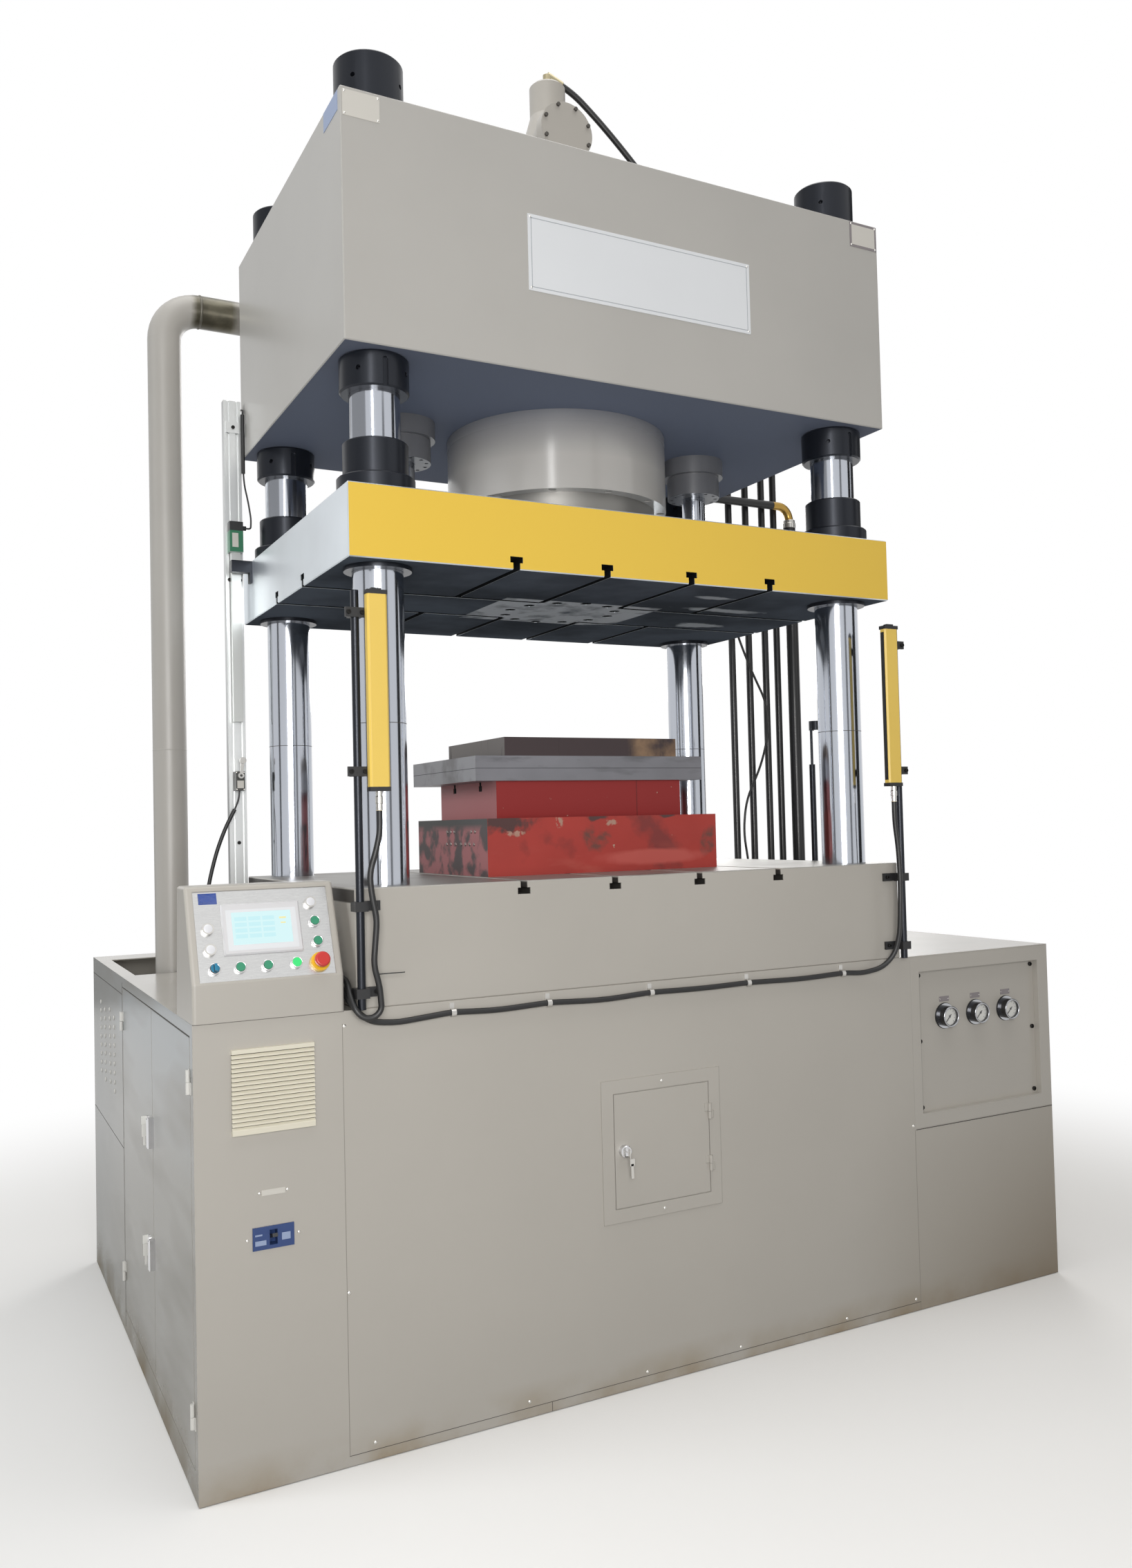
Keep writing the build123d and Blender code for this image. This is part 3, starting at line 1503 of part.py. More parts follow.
def tool_piece(size, shift, bottom):
    """A block of the press tool, shifted to the back and resting at a height."""
    width, depth, height = size
    return block(-width / 2, width / 2, shift - depth / 2, shift + depth / 2, bottom, bottom + height)


# Press tool on the bed: red blocks, the upper one with two T-slots along X, and three plates.
upper_bottom = bed_top + lower_block[2]
upper_top = upper_bottom + upper_block[2]
upper = tool_piece(upper_block, upper_block_shift, upper_bottom)
for side in (-1, 1):
    cutter = t_slot(
        upper_block[0] + overrun,
        tool_slot_neck_width,
        tool_slot_neck_depth,
        tool_slot_head_width,
        tool_slot_head_height,
    )
    slot_y = upper_block_shift + side * tool_slot_spacing / 2
    upper -= Pos(0, slot_y, upper_top) * Rot(0, 0, 90) * cutter
save("die_blocks", tool_piece(lower_block, 0, bed_top), upper)
plates = []
for index in range(tool_plate_count):
    plates.append(tool_piece(tool_plate, tool_plate_shift, upper_top + index * tool_plate[2]))
plates_top = upper_top + tool_plate_count * tool_plate[2]
plates.append(tool_piece(top_plate, top_plate_shift, plates_top))
save("die_plates", *plates)
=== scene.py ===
import math

import bpy
import numpy as np
from mathutils import Matrix


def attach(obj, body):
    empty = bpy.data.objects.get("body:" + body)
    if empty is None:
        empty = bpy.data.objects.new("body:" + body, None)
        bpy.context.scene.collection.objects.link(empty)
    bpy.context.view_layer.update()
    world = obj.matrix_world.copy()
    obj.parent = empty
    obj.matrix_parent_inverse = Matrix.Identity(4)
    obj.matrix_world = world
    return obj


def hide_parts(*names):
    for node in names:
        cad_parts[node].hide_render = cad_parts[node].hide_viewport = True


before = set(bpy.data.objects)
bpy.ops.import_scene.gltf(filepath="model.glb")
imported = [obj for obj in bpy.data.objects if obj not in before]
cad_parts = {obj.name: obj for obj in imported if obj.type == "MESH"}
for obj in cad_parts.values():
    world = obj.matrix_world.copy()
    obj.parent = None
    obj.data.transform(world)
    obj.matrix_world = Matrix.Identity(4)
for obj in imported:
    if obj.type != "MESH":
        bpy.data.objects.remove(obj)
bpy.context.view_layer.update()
scene = bpy.context.scene
scene.view_settings.view_transform = "Standard"

# Stage: a plain pale floor under the press that runs out into a white surround, which metal and glass
# show too. Soft lamps stand in front, above, at the left and behind. Grey flags and one bright strip,
# which only mirroring surfaces show, give the chrome its bands.
floor_half = 60.0
floor_level = -0.002
floor_corners = [
    (x * floor_half, y * floor_half, floor_level) for x, y in ((-1, -1), (1, -1), (1, 1), (-1, 1))
]
floor_mesh = bpy.data.meshes.new("floor")
floor_mesh.from_pydata(floor_corners, [], [(0, 1, 2, 3)])
floor = bpy.data.objects.new("floor", floor_mesh)
scene.collection.objects.link(floor)


def shader_node(tree, kind, links=(), values=(), operation=None):
    """A node of a kind: sockets linked to its inputs, plain values set on others, and its operation."""
    made = tree.nodes.new("ShaderNode" + kind)
    if operation is not None:
        made.operation = operation
    for key, value in values:
        made.inputs[key].default_value = value
    for key, socket in links:
        tree.links.new(socket, made.inputs[key])
    return made


def mixed(material, kind, mask, first, second):
    """A mix node between two values or sockets, with a mask socket as its share of the second."""
    tree = material.node_tree
    node = tree.nodes.new("ShaderNodeMix")
    node.data_type = kind
    inputs, output = ((6, 7), 2) if kind == "RGBA" else ((2, 3), 0)
    tree.links.new(mask, node.inputs[0])
    for index, value in zip(inputs, (first, second)):
        if isinstance(value, bpy.types.NodeSocket):
            tree.links.new(value, node.inputs[index])
        else:
            node.inputs[index].default_value = value
    return node.outputs[output]


def ramp(tree, value, start, end):
    """A share that rises evenly from zero where a value is at start to one where it is at end."""
    limits = [("From Min", start), ("From Max", end)]
    return shader_node(tree, "MapRange", [("Value", value)], limits).outputs["Result"]


def new_look(name, values=()):
    """A new material, its node tree and its shader, with values set on the shader's inputs."""
    material = bpy.data.materials.new(name)
    material.use_nodes = True
    shader = material.node_tree.nodes["Principled BSDF"]
    for key, value in values:
        shader.inputs[key].default_value = value
    return material, material.node_tree, shader


floor_matt = [("Roughness", 1.0), ("Specular IOR Level", 0.0)]
floor_look, floor_tree, floor_shader = new_look("floor_white", floor_matt)
floor_seen_tone, floor_bounce_tone = (0.90, 0.90, 0.90, 1.0), (0.30, 0.30, 0.30, 1.0)
floor_bounce = shader_node(floor_tree, "LightPath").outputs["Is Diffuse Ray"]
floor_colour = mixed(floor_look, "RGBA", floor_bounce, floor_seen_tone, floor_bounce_tone)
floor_tree.links.new(floor_colour, floor_shader.inputs["Base Color"])
white_from, white_all = 2.2, 4.6
floor_place = shader_node(floor_tree, "TexCoord").outputs["Object"]
floor_reach = shader_node(floor_tree, "VectorMath", [(0, floor_place)], (), "LENGTH").outputs["Value"]
floor_fade = ramp(floor_tree, floor_reach, white_from, white_all)
floor_fade.node.interpolation_type = "SMOOTHSTEP"
floor_seen = shader_node(floor_tree, "Math", [(1, floor_bounce)], [(0, 1.0)], "SUBTRACT").outputs[0]
floor_share = shader_node(floor_tree, "Math", [(0, floor_seen), (1, floor_fade)], (), "MULTIPLY").outputs[0]
floor_white = shader_node(floor_tree, "Emission").outputs[0]
floor_parts = [("Fac", floor_share), (1, floor_shader.outputs[0]), (2, floor_white)]
floor_mix = shader_node(floor_tree, "MixShader", floor_parts).outputs[0]
floor_tree.links.new(floor_mix, floor_tree.nodes["Material Output"].inputs["Surface"])
floor_mesh.materials.append(floor_look)

world = bpy.data.worlds.new("surround")
scene.world = world
world.use_nodes = True
sky_tree = world.node_tree
sky_tree.nodes.clear()
sky_path = shader_node(sky_tree, "LightPath").outputs
mirror_rays = [(0, sky_path["Is Glossy Ray"]), (1, sky_path["Is Transmission Ray"])]
sky_mirror = shader_node(sky_tree, "Math", mirror_rays, (), "MAXIMUM").outputs[0]
seen_rays = [(0, sky_path["Is Camera Ray"]), (1, sky_mirror)]
sky_seen = shader_node(sky_tree, "Math", seen_rays, (), "MAXIMUM").outputs[0]
sky_white = shader_node(sky_tree, "Background", (), [("Color", (1.0, 1.0, 1.0, 1.0))]).outputs[0]
room_light = [("Color", (1.0, 0.96, 0.90, 1.0)), ("Strength", 0.23)]
sky_room = shader_node(sky_tree, "Background", (), room_light).outputs[0]
sky_mix = shader_node(sky_tree, "MixShader", [("Fac", sky_seen), (1, sky_room), (2, sky_white)]).outputs[0]
shader_node(sky_tree, "OutputWorld", [("Surface", sky_mix)])


def aim(place, forward, up):
    """The matrix of a lamp or camera at a place whose -Z looks forward and whose +Y is nearest to up."""
    back = -np.array(forward, float) / np.linalg.norm(forward)
    right = np.cross(np.array(up, float), back)
    right /= np.linalg.norm(right)
    columns = np.column_stack([right, np.cross(back, right), back, np.array(place, float)])
    return Matrix(np.vstack([columns, [0.0, 0.0, 0.0, 1.0]]).tolist())


lamp_aim = np.array([0.0, 0.2, 1.9])
for lamp_name, lamp_place, lamp_size, lamp_power, lamp_colour in (
    ("lamp_front", (-2.3, -4.9, 2.15), (2.2, 2.2), 152.0, (1.0, 0.99, 0.97)),
    ("lamp_top", (0.0, -1.0, 10.5), (8.0, 8.0), 440.0, (1.0, 0.99, 0.97)),
    ("lamp_left", (-8.0, 0.5, 5.6), (3.5, 3.5), 250.0, (0.95, 0.98, 1.0)),
    ("lamp_back", (5.6, 7.0, 5.0), (4.0, 4.0), 230.0, (1.0, 0.99, 0.97)),
):
    lamp_data = bpy.data.lights.new(lamp_name, "AREA")
    lamp_data.shape = "RECTANGLE"
    lamp_data.size, lamp_data.size_y = lamp_size
    lamp_data.energy = lamp_power
    lamp_data.color = lamp_colour
    lamp = bpy.data.objects.new(lamp_name, lamp_data)
    lamp.matrix_world = aim(lamp_place, lamp_aim - np.array(lamp_place), (0.0, 0.1, 1.0))
    lamp.visible_camera = False
    lamp.visible_glossy = lamp_name != "lamp_left"
    scene.collection.objects.link(lamp)

for flag_name, flag_start, flag_end, flag_foot, flag_top, flag_tone in (
    ("flag_right", (7.6, -5.2), (9.0, -2.6), 0.0, 7.0, 0.03),
    ("flag_left", (-9.0, -2.2), (-9.2, -0.8), 0.0, 6.0, 0.12),
    ("flag_front", (1.2, -9.0), (2.6, -8.6), 0.0, 6.0, 0.25),
    ("flag_back", (-5.5, 7.0), (-1.9, 9.0), 0.0, 2.4, 0.25),
    ("flag_high_front", (-7.8, -4.5), (-9.0, 0.5), 4.2, 9.0, 0.45),
    ("flag_high_left", (-9.0, 0.5), (-6.2, 6.2), 4.2, 9.0, 0.45),
    ("flag_high_back", (-5.6, 6.6), (1.5, 9.5), 5.4, 9.0, 0.65),
    ("flag_high_right", (9.0, -1.5), (7.0, 7.0), 4.0, 9.0, 0.04),
    ("strip_front", (-4.55, -6.55), (-4.0, -6.95), 0.4, 7.0, 12.0),
):
    flag_mesh = bpy.data.meshes.new(flag_name)
    flag_edges = (
        (flag_start, flag_foot), (flag_end, flag_foot), (flag_end, flag_top), (flag_start, flag_top)
    )
    flag_corners = [(*foot, level) for foot, level in flag_edges]
    flag_mesh.from_pydata(flag_corners, [], [(0, 1, 2, 3)])
    flag_values = [("Base Color", (0.0, 0.0, 0.0, 1.0)), ("Specular IOR Level", 0.0)]
    flag_values += [("Emission Color", (1.0, 1.0, 1.0, 1.0)), ("Emission Strength", flag_tone)]
    flag_mesh.materials.append(new_look(flag_name, flag_values)[0])
    flag = bpy.data.objects.new(flag_name, flag_mesh)
    flag.visible_camera = False
    flag.visible_diffuse = False
    flag.visible_shadow = False
    scene.collection.objects.link(flag)

# Camera: the photograph's own viewpoint, solved from the straight edges of the press. The focal length
# is in pixels of an image that is 1638 wide and 2268 high, so it is turned into millimetres here.
focal_pixels, photo_height, sensor = 1770.2, 2268.0, 36.0
camera_data = bpy.data.cameras.new("camera")
camera_data.sensor_width = sensor
camera_data.lens = focal_pixels / photo_height * sensor
camera_data.clip_end = 200.0
camera_data.dof.use_dof = False
camera = bpy.data.objects.new("camera", camera_data)
camera.matrix_world = aim((-1.9648, -3.7478, 1.6597), (0.4656, 0.8844, 0.0321), (0.0065, -0.0398, 0.9992))
scene.collection.objects.link(camera)
scene.camera = camera


# Bed and stand: a thick steel plate on a welded stand, painted warm light grey, its top milled bare
# with T-slots. The finishes of all later sections are made by the functions that stand here.
def srgb(red, green, blue):
    """Screen values from 0 to 255 as linear light: a power of 2.4 above the linear foot."""
    screen = np.array([red, green, blue]) / 255.0
    linear = np.where(screen > 0.04045, ((screen + 0.055) / 1.055) ** 2.4, screen / 12.92)
    return (*linear.tolist(), 1.0)


def noise(material, scale, low=0.0, high=1.0, stretch=(1.0, 1.0, 1.0), detail=5.0):
    """Noise on object coordinates, stretched per axis, as a share that rises from low to high."""
    tree = material.node_tree
    place = shader_node(tree, "TexCoord").outputs["Object"]
    scaled = shader_node(tree, "VectorMath", [(0, place)], [(1, stretch)], "MULTIPLY").outputs[0]
    texture = shader_node(tree, "TexNoise", [("Vector", scaled)], [("Scale", scale), ("Detail", detail)])
    return ramp(tree, texture.outputs["Fac"], low, high)


def ramp_along(material, axis, start, end, source="Object"):
    """A share that rises from zero at start to one at end along an axis of place or of facing."""
    tree = material.node_tree
    place = shader_node(tree, "TexCoord").outputs[source]
    split = shader_node(tree, "SeparateXYZ", [(0, place)])
    return ramp(tree, split.outputs[axis], start, end)


def product(material, masks):
    """Masks multiplied together: sockets, ramps as (axis, start, end) and noises as (scale, low, high)."""
    result = None
    for mask in masks if isinstance(masks, list) else [masks]:
        if isinstance(mask, tuple):
            mask = (ramp_along if isinstance(mask[0], str) else noise)(material, *mask)
        if result is not None:
            factors = [(0, result), (1, mask)]
            mask = shader_node(material.node_tree, "Math", factors, (), "MULTIPLY").outputs[0]
        result = mask
    return result


def layer(material, masks, colour=None, rough=None, metal=None, shine=None):
    """Lays another colour, roughness, metalness or shine over a finish where the masks' product is one."""
    share = product(material, masks)
    shader = material.node_tree.nodes["Principled BSDF"]
    for socket_name, kind, value in (
        ("Base Color", "RGBA", colour and srgb(*colour)),
        ("Roughness", "FLOAT", rough),
        ("Metallic", "FLOAT", metal),
        ("Specular IOR Level", "FLOAT", shine),
    ):
        if value is None:
            continue
        socket = shader.inputs[socket_name]
        if socket.is_linked:
            below = socket.links[0].from_socket
        else:
            below = socket.default_value if kind == "FLOAT" else tuple(socket.default_value)
        material.node_tree.links.new(mixed(material, kind, share, below, value), socket)


def finish(
    name, colour, rough, metal=0.0, drift=0.0, drift_scale=2.2, grain=0.0, grain_scale=700.0, edge=0.0
):
    """A finish whose colour and roughness drift slowly, with an optional fine grain and softened edges."""
    colour = srgb(*colour)
    values = [("Metallic", metal), ("Roughness", rough), ("Base Color", colour)]
    material, tree, shader = new_look(name, values)
    if drift > 0.0:
        dark = tuple(channel * (1.0 - drift) for channel in colour[:3]) + (1.0,)
        light = tuple(min(1.0, channel * (1.0 + drift)) for channel in colour[:3]) + (1.0,)
        share = noise(material, drift_scale, 0.3, 0.7)
        tree.links.new(mixed(material, "RGBA", share, dark, light), shader.inputs["Base Color"])
        rough_share = noise(material, drift_scale * 2.7, 0.3, 0.7)
        spread = min(1.0, rough * (1.0 + 3.0 * drift))
        tree.links.new(mixed(material, "FLOAT", rough_share, rough, spread), shader.inputs["Roughness"])
    normal = []
    if edge > 0.0:
        soften = shader_node(tree, "Bevel", (), [("Radius", edge)])
        soften.samples = 4
        normal = [("Normal", soften.outputs["Normal"])]
    if grain > 0.0:
        height = ("Height", noise(material, grain_scale))
        bump = shader_node(tree, "Bump", [height, *normal], [("Strength", grain), ("Distance", 0.001)])
        normal = [("Normal", bump.outputs["Normal"])]
    for key, socket in normal:
        tree.links.new(socket, shader.inputs[key])
    return material


def dress(material, *nodes):
    """Gives CAD nodes their finish through the slots of their objects."""
    for node in nodes:
        for material_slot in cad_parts[node].material_slots:
            material_slot.material = material


grey = (182, 178, 171)
grey_paint = finish("grey_paint", grey, 0.34, drift=0.025, grain=0.05, grain_scale=260.0, edge=0.003)
dress(grey_paint, "bed_stand", "oil_tank", "gauge_housing", "gauge_panel")
dress(grey_paint, "access_frame", "access_door", "console")

bed_look = finish("bed_paint", grey, 0.34, drift=0.03, grain=0.05, grain_scale=260.0, edge=0.003)
bed_up = ("Z", 0.6, 0.8, "Normal")
layer(bed_look, bed_up, (150, 148, 144), 0.42, 0.55)
layer(bed_look, [bed_up, (3.0, 0.5, 0.72)], (92, 84, 76), 0.35, 0.4)
# The insides of the bed's T-slots are darker: painted shade.
bed_slot_shade = [("Z", 1.498, 1.494), ("Z", 1.458, 1.462), ("Y", -0.5975, -0.594)]
layer(bed_look, bed_slot_shade, (60, 57, 54), 0.6, 0.2)
dress(bed_look, "bed")


# Sheet-metal base: folded panels with the same paint, glossier on the cabinet's side, dusty at the
# floor. Thin dark joints part the panels, and domed screws hold the removable front sheet.
def piece(name, points, faces, body, material, slot, smooth=False):
    """A mesh piece from arrays of points and faces, on a body, with its finish; the slot argument is not
    used.
    """
    mesh = bpy.data.meshes.new(name)
    mesh.from_pydata(np.asarray(points).tolist(), [], [tuple(face) for face in faces])
    mesh.materials.append(material)
    mesh.polygons.foreach_set("use_smooth", np.full(len(mesh.polygons), smooth))
    mesh.update()
    obj = bpy.data.objects.new(name, mesh)
    scene.collection.objects.link(obj)
    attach(obj, body)
    return obj


def slabs(corners):
    """Boxes between pairs of opposite corners, as points and faces."""
    corners = np.asarray(corners, float)
    pick = np.array([(x, y, z) for z in (0, 1) for y in (0, 1) for x in (0, 1)])
    points = np.stack([corners[:, pick[:, axis], axis] for axis in range(3)], axis=-1).reshape(-1, 3)
    sides = np.array([(0, 2, 3, 1), (4, 5, 7, 6), (0, 1, 5, 4), (2, 6, 7, 3), (0, 4, 6, 2), (1, 3, 7, 5)])
    faces = (np.arange(len(corners))[:, None, None] * 8 + sides).reshape(-1, 4)
    return points, faces


def turned(profile, spots, axis, steps=20):
    """A profile of radius and height turned about an axis, at each spot; ends at radius zero close it."""
    profile = np.asarray(profile, float)
    spots = np.asarray(spots, float).reshape(-1, 3)
    along = np.asarray(axis, float) / np.linalg.norm(axis)
    side = np.cross(along, (0.0, 0.0, 1.0) if abs(along[2]) < 0.9 else (1.0, 0.0, 0.0))
    side /= np.linalg.norm(side)
    other = np.cross(along, side)
    angle = np.linspace(0.0, 2.0 * math.pi, steps, endpoint=False)
    circle = np.cos(angle)[:, None] * side + np.sin(angle)[:, None] * other
    ring = profile[:, None, 0:1] * circle[None] + profile[:, None, 1:2] * along
    points = (spots[:, None, None] + ring[None]).reshape(-1, 3)
    row, column = np.meshgrid(np.arange(len(profile) - 1), np.arange(steps), indexing="ij")
    following = (column + 1) % steps
    low, high = row * steps, (row + 1) * steps
    quad = np.stack([low + column, low + following, high + following, high + column], axis=-1).reshape(-1, 4)
    count = len(profile) * steps
    faces = (np.arange(len(spots))[:, None, None] * count + quad).reshape(-1, 4)
    return points, faces


def dome(radius, height):
    """The profile of a domed screw head: a quarter ellipse from the rim to the top."""
    angle = np.linspace(0.0, math.pi / 2.0, 6)
    return np.column_stack([radius * np.cos(angle), height * np.sin(angle)])


def lathed(name, profile, spots, axis, material, slot, steps=20, smooth=False, body="frame"):
    """One piece of a profile turned about an axis at each spot, on a body."""
    piece(name, *turned(profile, spots, axis, steps), body, material, slot, smooth)


def trim(name, boxes, material, slot):
    """One piece of thin plates or joints on the frame, as boxes between opposite corners."""
    piece(name, *slabs(boxes), "frame", material, slot)


front_look = finish("front_paint", grey, 0.36, drift=0.02, grain=0.04, grain_scale=220.0, edge=0.002)
dust = [("Z", 0.10, 0.0), (6.0, 0.35, 0.75)]
layer(front_look, dust, (150, 134, 108), 0.6)
film = [("X", 0.70, 1.70), ("Z", 0.80, 0.0)]
layer(front_look, film, (138, 127, 111), 0.5)
dress(front_look, "front_panel")
side_look = finish("side_paint", grey, 0.2, drift=0.03, grain=0.03, grain_scale=120.0, edge=0.002)
side_facing = ("X", -0.8, -0.95, "Normal")
# The side faces get a darker colour with less shine: painted shade.
layer(side_look, side_facing, (168, 166, 161), None, None, 0.06)
side_reflection_high = [side_facing, ("Z", 0.75, 1.08)]
# A paler bluish band up high and darker blotches at mid height: painted reflections.
layer(side_look, side_reflection_high, (170, 174, 176))
side_reflection_band = (1.7, 0.44, 0.66, (1.0, 0.7, 3.2), 2.0)
layer(side_look, [side_facing, side_reflection_band], (146, 143, 136))
# The rear part of the side is darker: painted shade.
side_shade_rear = [side_facing, ("Y", 0.45, 1.25)]
layer(side_look, side_shade_rear, (142, 143, 140))
side_dust = [("Z", 0.16, 0.0), (5.0, 0.3, 0.7)]
layer(side_look, side_dust, (140, 128, 108), 0.6)
hinge_leaf = ("X", -1.3753, -1.3757)
layer(side_look, hinge_leaf, (214, 213, 209), 0.4)
dress(side_look, "electric_cabinet", "hydraulic_housing", "front_cabinet_door", "rear_cabinet_door")

front_y, left_x, back_y, right_x = -0.600, -1.375, 1.390, 1.650
seam_dark = finish("seam_dark", (70, 67, 63), 0.8)
seam_proud = 0.0004
front_seams = (
    (-0.9912, 0.9920, 0.0262, 0.0276),
    (-0.3997, -0.3983, 0.0, 0.027),
    (0.9960, 1.6500, 0.5962, 0.5988),
    (-1.3750, -0.9855, 1.1784, 1.1802),
)
faint_seams = (
    (-0.9912, -0.9896, 0.027, 1.146),
    (0.9905, 0.9920, 0.0, 0.597),
)
left_seams = (
    (0.6155, 0.6172, 0.02, 1.16),
    (0.6172, 1.385, 0.6070, 0.6088),
    (0.6172, 1.385, 1.1200, 1.1224),
    (-0.5640, 0.0200, 1.1442, 1.1478),
    (0.0200, 0.6080, 1.1452, 1.1470),
)
seam_boxes = [((x0, front_y - seam_proud, z0), (x1, front_y, z1)) for x0, x1, z0, z1 in front_seams]
seam_boxes += [((left_x - seam_proud, y0, z0), (left_x, y1, z1)) for y0, y1, z0, z1 in left_seams]
trim("panel_seams", seam_boxes, seam_dark, "grey_paint")
seam_faint = finish("seam_faint", (142, 138, 131), 0.6)
faint_boxes = [((x0, front_y - seam_proud, z0), (x1, front_y, z1)) for x0, x1, z0, z1 in faint_seams]
trim("panel_folds", faint_boxes, seam_faint, "grey_paint")

bright_screw = finish("screw_steel", (205, 203, 198), 0.22, 1.0)


def screws(name, radius, height, spots, axis, steps=20):
    """One piece of bright domed screw or rivet heads on the frame, facing along an axis."""
    lathed(name, dome(radius, height), spots, axis, bright_screw, "stainless", steps, True)


front_screws = [(-0.985, 0.446), (-0.985, 1.140), (-0.921, 0.045), (-0.470, 0.043), (-0.083, 0.038)]
front_screws += [(0.254, 0.037), (0.673, 0.036), (0.971, 0.038), (0.984, 0.612)]
screw_spots = [(x, front_y, z) for x, z in front_screws]
screws("front_screws", 0.0055, 0.0032, screw_spots, (0, -1, 0))

# Back and right side of the base: removable sheets of the same painted steel, parted by thin joints
# and screwed on, with two groups of punched vent slots beside the pump.
back_joints = (-0.940, -0.080, 0.780)
right_joint = 0.395
joint_half, joint_wide = 0.0007, 0.0014
joint_foot, joint_head, joint_levels = 0.030, 1.150, (0.0288, 1.1498)
back_out, right_out = back_y + seam_proud, right_x + seam_proud
rear_boxes = [
    ((x - joint_half, back_y, joint_foot), (x + joint_half, back_out, joint_head)) for x in back_joints
]
rear_boxes += [((left_x, back_y, z), (right_x, back_out, z + joint_wide)) for z in joint_levels]
rear_boxes += [
    ((right_x, right_joint - joint_half, joint_foot), (right_out, right_joint + joint_half, joint_head))
]
rear_boxes += [((right_x, -0.598, z), (right_out, 1.388, z + joint_wide)) for z in joint_levels]
trim("rear_seams", rear_boxes, seam_dark, "grey_paint")
screw_levels = (0.070, 0.590, 1.110)
screw_inset = 0.030
back_places = [x + side * screw_inset for x in back_joints for side in (-1, 1)]
back_places += [left_x + screw_inset, right_x - screw_inset]
right_places = [
    front_y + screw_inset, right_joint - screw_inset, right_joint + screw_inset, back_y - screw_inset
]
back_spots = [(x, back_y, z) for x in back_places for z in screw_levels]
right_spots = [(right_x, y, z) for y in right_places for z in screw_levels]
screws("back_screws", 0.0055, 0.0006, back_spots, (0, 1, 0))
screws("right_screws", 0.0055, 0.0006, right_spots, (1, 0, 0))
# The vent slots are dark strips on the sheet: painted shade of the openings.
slot_rows = [0.72 + 0.034 * k for k in range(8)]
slot_starts = [(y, z) for y in (0.62, 0.86) for z in slot_rows]
slot_boxes = [((right_x, y, z), (right_x + 0.0008, y + 0.150, z + 0.010)) for y, z in slot_starts]
trim("pump_vents", slot_boxes, seam_dark, "grey_paint")

# Rear panel of the cabinet's side: rows of vent dimples in two groups, pressed into the painted sheet.
# Each dimple is a low dome, and every second column is shifted by half a step.
dimple_columns = np.array([0.82, 0.93, 1.06, 1.17])
dimple_rows = 0.76 + 0.032 * np.arange(9)
dimple_shift = (0.0, 0.016, 0.0, 0.016)
dimple_spots = [(left_x, y, z + lift) for y, lift in zip(dimple_columns, dimple_shift) for z in dimple_rows]
lathed("vent_dimples", dome(0.0085, 0.0034), dimple_spots, (-1, 0, 0), side_look, "grey_paint", 14, True)

# Cabinet doors: painted pans with bright chromed handles screwed to the front one. The rear one has two
# cam locks with nickel keys left in them; the hinges keep a paler coat of the paint.
chrome = finish("chrome", (214, 214, 216), 0.09, 1.0, drift=0.03, drift_scale=1.5)
dress(chrome, "door_handles")
lock_y = 0.105
lock_levels = (0.806, 0.455)
door_lock = [(left_x, lock_y, z) for z in lock_levels]
lock_disc = [(0.0125, 0.0), (0.0125, 0.0030), (0.0105, 0.0042), (0.0, 0.0042)]
lathed("door_lock", lock_disc, door_lock, (-1, 0, 0), chrome, "chrome", 24, body="rear_cabinet_door")
door_keys = []
for z in lock_levels:
    door_keys += [
        ((left_x - 0.0190, lock_y - 0.0015, z - 0.0120), (left_x - 0.0040, lock_y + 0.0015, z + 0.0120)),
        ((left_x - 0.0180, lock_y - 0.0010, z - 0.0480), (left_x - 0.0060, lock_y + 0.0010, z - 0.0125)),
        ((left_x - 0.0140, lock_y - 0.0010, z - 0.0740), (left_x - 0.0080, lock_y + 0.0010, z - 0.0480)),
    ]
key_nickel = finish("key_nickel", (226, 226, 222), 0.5, 0.2)
piece("door_keys", *slabs(door_keys), "rear_cabinet_door", key_nickel, "chrome")

# Vent grille: cream moulded plastic over the cut-out, with louvres across its whole width between two
# strips. Each louvre slopes back as it rises, and above it a dark sheet in the gap is painted shade.
cream = finish("cream_plastic", (224, 219, 202), 0.45, drift=0.02, edge=0.0008)
dress(cream, "vent_grille")
vent_x0, vent_x1, vent_z0, vent_z1 = -1.282, -1.069, 0.894, 1.109
vent_front, vent_back, vent_strip = -0.612, -0.6055, 0.011
louvre_count = 17
louvre_pitch = (vent_z1 - vent_z0 - 2.0 * vent_strip) / louvre_count
louvre_foot = vent_z0 + vent_strip + louvre_pitch * np.arange(louvre_count)
louvre_lip, louvre_gap = 0.0022, 0.0026
louvre_head = louvre_foot + louvre_pitch - louvre_gap
louvre_levels = zip(louvre_foot, louvre_head)
louvre_boxes = [((vent_x0, vent_front, z0), (vent_x1, vent_back, z1)) for z0, z1 in louvre_levels]
louvre_points, louvre_faces = slabs(louvre_boxes)
louvre_front_top = np.tile([False] * 4 + [True, True, False, False], louvre_count)
louvre_points[louvre_front_top, 2] -= louvre_pitch - louvre_gap - louvre_lip
strip_points, strip_faces = slabs(
    [
        ((vent_x0, vent_front, vent_z0), (vent_x1, front_y, vent_z0 + vent_strip)),
        ((vent_x0, vent_front, vent_z1 - vent_strip), (vent_x1, front_y, vent_z1)),
    ]
)
grille_points = np.vstack([louvre_points, strip_points])
grille_faces = np.vstack([louvre_faces, strip_faces + len(louvre_points)])
louvres = piece("vent_louvres", grille_points, grille_faces, "frame", cream, "cream_plastic")
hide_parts("vent_grille")
gap_inset, gap_front = 0.001, -0.6054
gap_low = (vent_x0 + gap_inset, gap_front, vent_z0 + vent_strip)
gap_high = (vent_x1 - gap_inset, front_y, vent_z1 - vent_strip)
# A dark sheet behind the louvres: painted shade in the gaps.
vent_gap_shade = finish("vent_gap_shade", (84, 80, 68), 0.8)
trim("vent_gaps", [(gap_low, gap_high)], vent_gap_shade, "cream_plastic")

